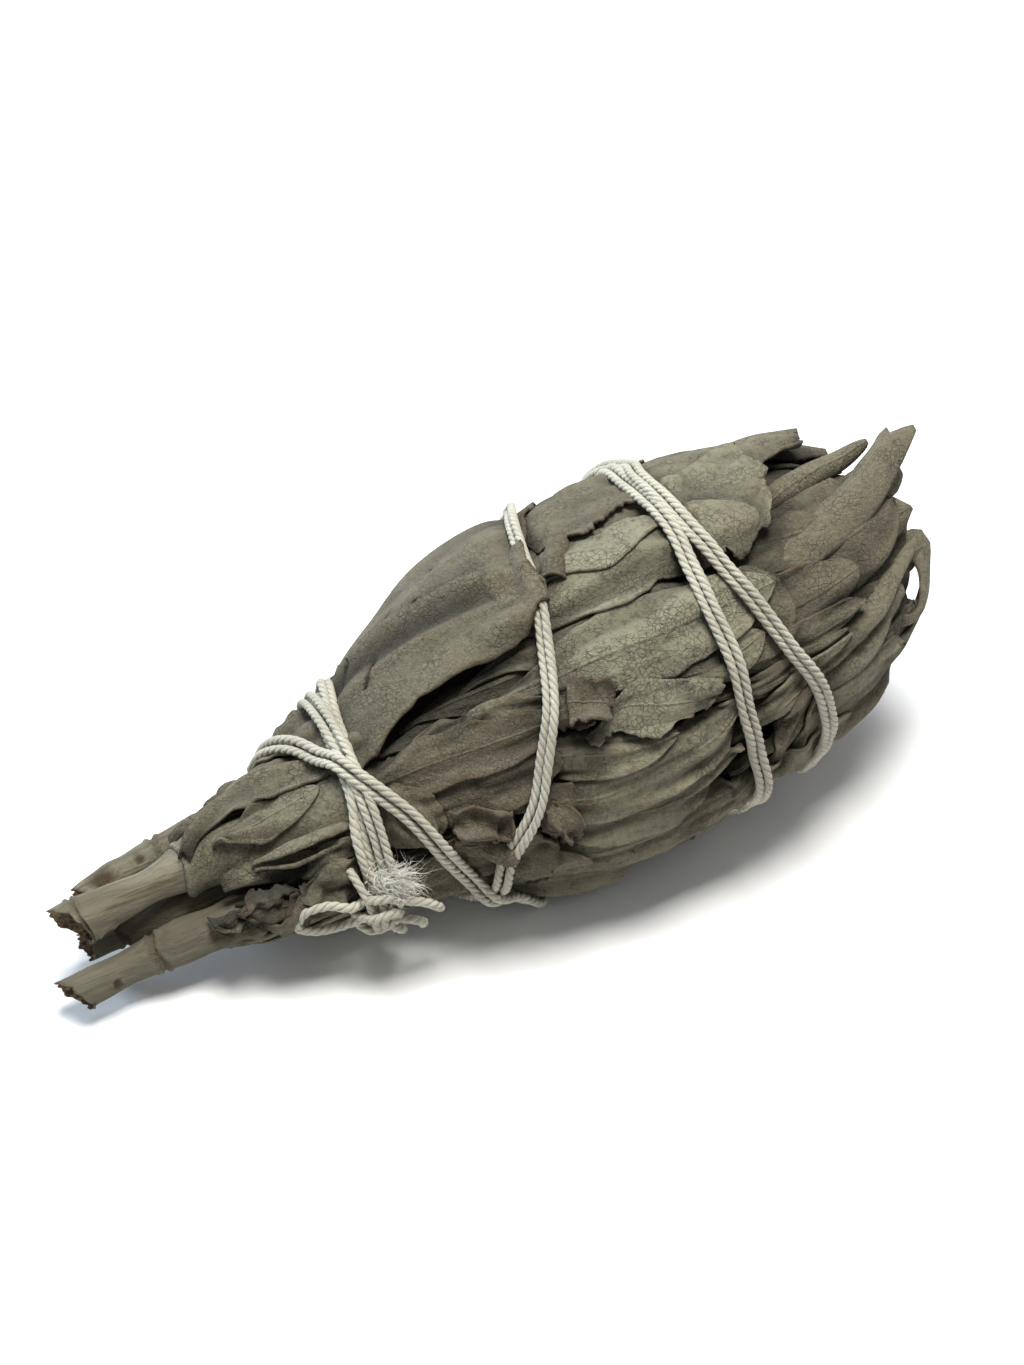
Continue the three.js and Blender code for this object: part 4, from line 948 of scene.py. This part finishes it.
# Leaves that have dried free, at the tip, in the middle and at the neck: side, path of (u, phi, d),
# width, bend, lean and style.
CRUMPLED = dict(petiole=0.5, blunt=1.0, ragged=0.3, wave=0.5, lies=True)
FREE_LEAVES = [
    ("top", [(118, 8, -5), (127, 3, -6), (133, -1, -2.7), (137, -4, 1.4)], 7, 30, 0,
     dict(blunt=1.0, widest=0.7)),
    ("top", [(108, 8, -3), (114, 3.5, -0.7), (121, -1, -0.2), (127.5, -5, 0.7), (131.5, -6, 3.2)], 8,
     165, -30, dict(tint=0.5)),
    ("top", [(102, 28, -2), (107, 25.6, -0.6), (114, 22, 0.3), (124, 15, 0.8), (131.5, 3.5, 3.8),
     (135, -3, 6.2)], 11, [(0, 60), (0.5, 95), (0.85, 115), (1, 40)], 30,
     dict(tint=0.6, fork=3.3, widest=0.3, petiole=0.6, wave=0.3, blunt=1.0)),
    ("front", [(100, 66, -4), (107, 68, -3), (113, 67, -1.0), (119, 64.5, -1), (124, 60.5, -2.5),
     (129, 58, -3.4), (134, 56, -3.0)], 6, [(0, 60), (0.4, 160), (1, 175)], 120, dict(tint=0.2)),
    ("front", [(116, 98, -7), (121, 98, -5.6), (126, 82, -6.4), (132, 69, -5.2), (136.5, 79, -2.2),
     (136, 92, -0.4), (132, 101, 0.3), (127.6, 97, -1.6), (125.6, 86, -4.4)], 6, 60, 20,
     dict(tint=0.45, petiole=0.8, blunt=1.0)),
    ("front", [(98, 72, -4), (105.5, 74, -3), (112, 76.5, -1.2), (118, 77.5, -1.2), (125, 75.5, -3)], 8,
     150, 100, dict(tint=0.1)),
    ("front", [(99, 82, -4), (107, 82, -3), (114, 86.5, -0.8), (120.5, 89, -1.4), (126, 88, -3)], 9,
     130, 80, dict(tint=0.2)),
    ("top", [(28, 40, -2.2), (32, 42.5, -1.3), (37, 44, -1.0), (43, 46, -1.0)], 7, 150, 160,
     dict(tint=0.3, petiole=0.2)),
    ("top", [(76.2, 3.5, 1.3), (77.4, -1, 1.2), (79.6, -7, 0.9), (82, -11, 0.3)], 7, 160, 25,
     dict(tint=1.0, petiole=1.0, widest=0.3, blunt=1.0, lies=True)),
    ("front", [(70.6, 39.5, 0.5), (72.2, 41, 1.0), (73.8, 43, 1.0), (75.2, 45.5, 0.4)], 7.5, [(0, -20),
     (0.5, -60), (1, -80)], 10,
     dict(CRUMPLED, tint=1.0, petiole=0.8, widest=0.5, wave=0.35, rows=40)),
    ("front", [(52.6, 62, 0.2), (55, 64, 0.9), (57.4, 68, 1.3), (59, 75, 0.5)], 7.5, [(0, -40),
     (0.5, -115), (1, -80)], 15,
     dict(CRUMPLED, tint=0.95, rows=48)),
    ("front", [(52, 73, 0.2), (55, 76, 0.9), (57.5, 81, 0.8), (59, 87, 0.2)], 6, [(0, 40), (0.5, 130),
     (1, 90)], -10, dict(CRUMPLED, tint=0.8, rows=40)),
    ("front", [(64.8, 68, 0.2), (66, 74, 0.8), (66.6, 82, 0.3)], 4.5, [(0, -30), (1, -110)], 0,
     dict(CRUMPLED, tint=0.9, petiole=0.6, ragged=0.35, wave=0.4, rows=36)),
]
for k, (side, path, width, bend, lean, style) in enumerate(FREE_LEAVES):
    free_leaf(leaves[side], 700 + 5 * k, path, width, bend, lean, **style)

# Tips of the inner leaves, which fill the open end. They are shorter where the loop lies.
INNER_TIPS = 34
TIP_TURN = 137.5
LOOP_AT = 88
for k in range(INNER_TIPS):
    far = 1.5 + 0.42 * k
    phi = TIP_TURN * k
    short = (2 + 0.8 * far) * math.exp(-((phi % 360 - LOOP_AT) / 34) ** 2)
    height = far * (0.85 + 0.15 * chance(k))
    stations = [(u - short, phi + 6 * math.sin(u), height - float(half_width(u)))
                for u in (112, 120, 128, 136 + 2 * chance(k + 3) - 0.28 * far)]
    width, bend, lean = 10 + 4 * chance(k + 5), 45 + 40 * chance(k + 9), 40 * (chance(k + 2) - 0.5)
    # Each tip gets a fixed painted shade instead of one found from how deep it lies.
    free_leaf(sheaf_at(phi), 800 + 4 * k, stations, width, bend, lean, tint=1.3 * chance(k + 7) - 0.3,
              wave=0.5, petiole=0.8, rows=20, cols=11, shade=0.22)

# The knot: its loops, turns and cut ends, each a path of (u, phi, d).
KNOT = [
    [(42, 86, 3.0), (38.8, 85, 4.4), (35.4, 79, 4.2), (32.2, 81, 3.8), (31.4, 89, 3.6), (33.6, 97, 3.8),
     (38.0, 98, 4.2), (41.5, 92, 4.6)],
    [(40, 68, 1.6), (40.4, 76, 3.6), (40.9, 85, 5.0), (41.3, 95, 5.6), (41.7, 103, 5.0),
     (42, 112, 2.8)],
    [(42.4, 70, 1.8), (42.6, 79, 4.0), (42.4, 89, 5.8), (42.4, 99, 5.6), (42.2, 108, 3.4)],
    [(39.2, 96, 3.0), (40.4, 90, 6.2), (42.8, 88, 6.8), (44.6, 94, 5.4), (43.6, 102, 5.2),
     (40.8, 104, 5.2), (39.0, 99, 3.8)],
    [(40.2, 84, 4.0), (41.8, 81, 5.8), (43.8, 83, 5.8), (44.8, 90, 5.0), (44.0, 97, 4.6)],
    [(43.4, 86, 5.0), (46.0, 86, 6.0), (48.4, 91, 5.8), (50.4, 99, 5.0)],
    [(43.6, 97, 5.2), (46.2, 99, 5.9), (48.0, 106, 5.4), (48.4, 114, 4.6)],
    [(42.8, 103, 4.8), (44.4, 106, 5.4), (45.6, 113, 5.0), (45.4, 121, 4.0)],
]
KNOT_NEARER_STEMS = 1.4
KNOT_STEP = 0.3
knot = Sheaf("twine_knot", "cotton_twine", YARN)
for k, path in enumerate(KNOT):
    rough = along(path, np.linspace(0, 1, 400))
    rough = place(rough[:, 0] - KNOT_NEARER_STEMS, rough[:, 1], rough[:, 2])
    run = run_along(rough)
    at = np.linspace(0, run[-1], int(run[-1] / KNOT_STEP))
    points = np.stack([np.interp(at, run, rough[:, c]) for c in range(3)], 1)
    axis_z = AXIS_AT_STEMS + (points[:, 0] + LENGTH / 2) * AXIS_RISE
    axis = np.stack([points[:, 0], 0 * at, axis_z], 1)
    points[:, 2] = np.maximum(points[:, 2], TWINE_LOWEST)
    taper = np.clip(np.minimum(at, at[-1] - at) / 0.3 + 0.55, 0, 1)
    twist_yarn(knot, points, points - axis, TWINE_R * 1.02, 1.7 * k, taper)

# The frayed tuft: where its fibres start and end, and how far they scatter.
FIBRES = 420
FIBRE_POINTS = 9
FIBRE_R = 0.075
TUFT_ROOT, ROOT_SCATTER = np.array([42.0, 78, 2.8]), (0.7, 3.0, 0.5)
TUFT_TIP, TIP_SCATTER = np.array([44.2, 77, 5.8]), (1.5, 6.0, 1.2)
BOW_SCATTER = (1.3, 5.0, 1.2)
tuft = Sheaf("twine_frayed_tuft", "cotton_twine", FLUFF)
luck = np.random.default_rng(5)
s = np.linspace(0, 1, FIBRE_POINTS)[:, None]
corners = np.linspace(0, 2 * math.pi, 4)[None, :]
for k in range(FIBRES):
    root = TUFT_ROOT + luck.normal(0, 1, 3) * ROOT_SCATTER
    tip = TUFT_TIP + luck.normal(0, 1, 3) * TIP_SCATTER
    bow = (root + tip) / 2 + luck.normal(0, 1, 3) * BOW_SCATTER
    line = root * (1 - s) ** 2 + 2 * bow * s * (1 - s) + tip * s ** 2
    points = place(line[:, 0], line[:, 1], line[:, 2])
    points += 0.25 * np.sin(s * (7 + 8 * luck.random()) + luck.random(3) * 6)
    _, side, out = frames_along(points, np.tile([0.1, -1.0, 0.3], (FIBRE_POINTS, 1)))
    grid = tube(points, side, out, FIBRE_R * (1.05 - s), corners)
    grid[:, -1] = grid[:, 0]
    tuft.add(grid[:, ::-1], closed=True, crest=1)

# How each stem was cut and what marks it: the slant of the cut and the way it faces, and its scars,
# each an x, an angle round the stem (90 towards -Y), a size and whether it runs all round.
STEM_MARKS = {
    "top": (4.8, 112, [(-66.0, 0, 0.35, True), (-63, 120, 0.8, False)]),
    "front": (3.3, 112, [(-57.2, 0, 0.45, True), (-48, 60, 1.6, False), (-45.5, 110, 1.3, False),
                         (-43, 40, 1.7, False), (-40.5, 90, 1.5, False), (-64, 70, 0.6, False)]),
    "back": (1.6, 100, [(-59.8, 4, 2.2, False), (-51, 0, 0.5, True), (-54, 14, 0.8, False)]),
    "under": (1.5, 60, [(-60, 0, 0.4, True)]),
}
# How much painted shade darkens each stem as a whole.
STEM_PAINTED_SHADE = {"top": 0.0, "front": 0.6, "back": 0.1, "under": 0.5}
# The broken end, from its middle outwards: share of the radius and depth below the rim.
BROKEN_END = [(0.0, 2.2), (0.25, 2.0), (0.5, 1.5), (0.72, 0.8), (0.9, 0.1)]


def stem(name, line):
    """A stem with its bark, its scars and its broken end."""
    slant, way, marks = STEM_MARKS[name]
    x, y, z, r = stem_line(line, np.linspace(0, 1, 200) ** 1.15)
    points = np.stack([x, y, z], 1)
    _, side, out = frames_along(points, np.tile([0, 0, 1.0], (len(x), 1)))
    a = np.linspace(0, 2 * math.pi, 49)
    X, A = np.meshgrid(x, a, indexing="ij")
    shape = 1 + 0.03 * np.sin(5 * A + 2 + 0.05 * X) + 0.012 * np.sin(11 * A)
    shape += 0.02 * np.sin(0.9 * X + 2 * A)
    scar = np.zeros_like(X)
    for at, turn, size, ring in marks:
        off = 0 if ring else r[:, None] * np.radians(np.abs((np.degrees(A) - turn + 180) % 360 - 180))
        far = np.sqrt((X - at + (0.3 * np.sin(3 * A) if ring else 0)) ** 2 + off ** 2) / size
        scar = np.maximum(scar, np.clip(1.6 - 1.3 * far, 0, 0.45 if ring else 1))
        shape = shape - 0.09 * np.exp(-far ** 2) + 0.10 * np.exp(-((far - 1.5) / 0.5) ** 2)
    grid = tube(points, side, out, r[:, None] * shape, A)
    jag = slant * (0.5 + 0.5 * np.cos(a - math.radians(way))) + 0.25 * np.sin(4 * a + 1)
    jag = jag + 0.18 * np.sin(9 * a) + 0.12 * np.sin(17 * a)
    grid[..., 0] += jag[None, :] * np.clip(1 - (X - x[0]) / 5, 0, 1) ** 2
    grid[:, -1] = grid[:, 0]
    rim_x = grid[0, :, 0]
    end = []
    for share, deep in BROKEN_END:
        ring = points[0] + (grid[0] - points[0]) * share
        ring[:, 0] = rim_x * share + rim_x.mean() * (1 - share) + deep
        ring[:, 0] += 0.25 * share * np.sin(6 * a + 9 * share)
        ring[-1] = ring[0]
        end.append(ring)
    grid = np.concatenate([np.array(end), grid])
    cut = np.zeros(grid.shape[:2])
    cut[:len(end) + 1] = 1
    cut[len(end) + 1:len(end) + 3] = 0.5
    scar = np.concatenate([np.zeros((len(end), len(a))), scar])
    sheaf = Sheaf("stem_" + name, "sage_" + name, BARK)
    sheaf.add(grid[:, ::-1], closed=True, cut=cut[:, ::-1], scar=scar[:, ::-1], shade=STEM_PAINTED_SHADE[name])
    return sheaf


def lay_sheath(line):
    """Adds the sheath to the leaves of the top stem."""
    S, A = np.meshgrid(np.linspace(0, 1, 64), np.linspace(0, 2 * math.pi, 45), indexing="ij")
    x, y, z, r = stem_line(line, S[:, 0])
    points = np.stack([x, y, z], 1)
    _, side, out = frames_along(points, np.tile([0, 0, 1.0], (len(x), 1)))
    shape = 1 + 0.035 * np.sin(4 * A + 3 * S) + 0.03 * S * np.sin(9 * A - 6 * S) + 0.02 * np.sin(14 * S + A)
    grid = tube(points, side, out, r[:, None] * shape, A)
    grid[..., 0] += 0.5 * np.sin(2 * A + 1) * np.clip(1 - 8 * S, 0, 1)
    leaves["top"].add(grid[:, ::-1], tint=0.5 - 1.3 * np.exp(-(S / 0.03) ** 2), rim=8 * S + 0.1,
                      across=1, run=S)


lay_sheath(SHEATH)

# The inside, narrower towards both ends.
CORE_START, CORE_END = 30, 126
core_u, core_phi = np.meshgrid(np.linspace(CORE_START, CORE_END, 80), np.linspace(360, 0, 61),
                               indexing="ij")
core_d = -INNER_DEPTH * half_width(core_u) - 0.4 - 9 * np.clip((core_u - 112) / 14, 0, 1) ** 2
core_d = core_d - 6 * np.clip((42 - core_u) / 12, 0, 1) ** 2
core = place(core_u, core_phi, core_d)
core[..., 2] = np.maximum(core[..., 2], 0.6)
# The inside is coloured with painted shade.
inside = Sheaf("packed_inner_leaves", "sage_under", INNER_PAINTED_SHADE)
inside.add(core, closed=True)

# The pieces.
inside.make()
for side, sheaf in leaves.items():
    sheaf.paint_gap_shade()
    sheaf.make(LEAF_THICK, ["leafy_stem_" + side])
for name, line in STEMS.items():
    stem(name, line).make()
neck_tie.make()
knot.make()
tuft.make()
wrap.make(0, ["cotton_twine"])

# Camera, light and floor.
CAMERA_HEIGHT, CAMERA_TURN, CAMERA_FAR = 44.0, -28.77, 339.2
CAMERA_LENS = 60
CAMERA_NEAR_CLIP = 0.01
LOOK_AT = Vector((8.45, 8.581, 18.0)) * MM
FLOOR_HALF = 4
FLOOR_COLOUR = (0.86, 0.86, 0.86, 1)
STUDIO_COLOUR, STUDIO_LIGHT = (0.96, 0.98, 1.0, 1), 0.29


def turn_along(thing, way):
    """Turns a camera or a lamp so that it looks along a direction."""
    thing.rotation_mode = "QUATERNION"
    thing.rotation_quaternion = way.to_track_quat("-Z", "Y")


rise, turn = math.radians(CAMERA_HEIGHT), math.radians(CAMERA_TURN)
back = Vector((math.sin(turn) * math.cos(rise), -math.cos(turn) * math.cos(rise), math.sin(rise)))
camera = add_object("camera", bpy.data.cameras.new("camera"))
camera.location = LOOK_AT + back * CAMERA_FAR * MM
turn_along(camera, -back)
camera.data.lens = CAMERA_LENS
camera.data.clip_start = CAMERA_NEAR_CLIP
bpy.context.scene.camera = camera

floor_finish = Finish("pale_floor", Roughness=0.9, Base_Color=FLOOR_COLOUR)
bm = bmesh.new()
bmesh.ops.create_grid(bm, x_segments=1, y_segments=1, size=FLOOR_HALF)
floor_mesh = bpy.data.meshes.new("floor")
bm.to_mesh(floor_mesh)
bm.free()
floor_mesh.materials.append(floor_finish.material)
floor = add_object("floor", floor_mesh)

world = bpy.data.worlds.new("studio")
bpy.context.scene.world = world
world.use_nodes = True
world.node_tree.nodes["Background"].inputs[0].default_value = STUDIO_COLOUR
world.node_tree.nodes["Background"].inputs[1].default_value = STUDIO_LIGHT


def soft_light(name, spot, power, size, colour):
    """A square lamp at a spot, turned to the bunch."""
    data = bpy.data.lights.new(name, "AREA")
    data.energy, data.size, data.color = power, size, colour
    lamp = add_object(name, data)
    lamp.location = spot
    turn_along(lamp, -Vector(spot))


soft_light("window_light", (0.04, 0.0, 0.62), 5.6, 0.25, (1.0, 0.99, 0.96))
soft_light("sky_light", (-0.3, 0.5, 0.3), 3.5, 0.3, (0.70, 0.84, 1.0))
soft_light("fill_light", (0.5, -0.3, 0.5), 0.3, 0.5, (1.0, 0.98, 0.94))
bpy.context.scene.view_settings.view_transform = "Standard"
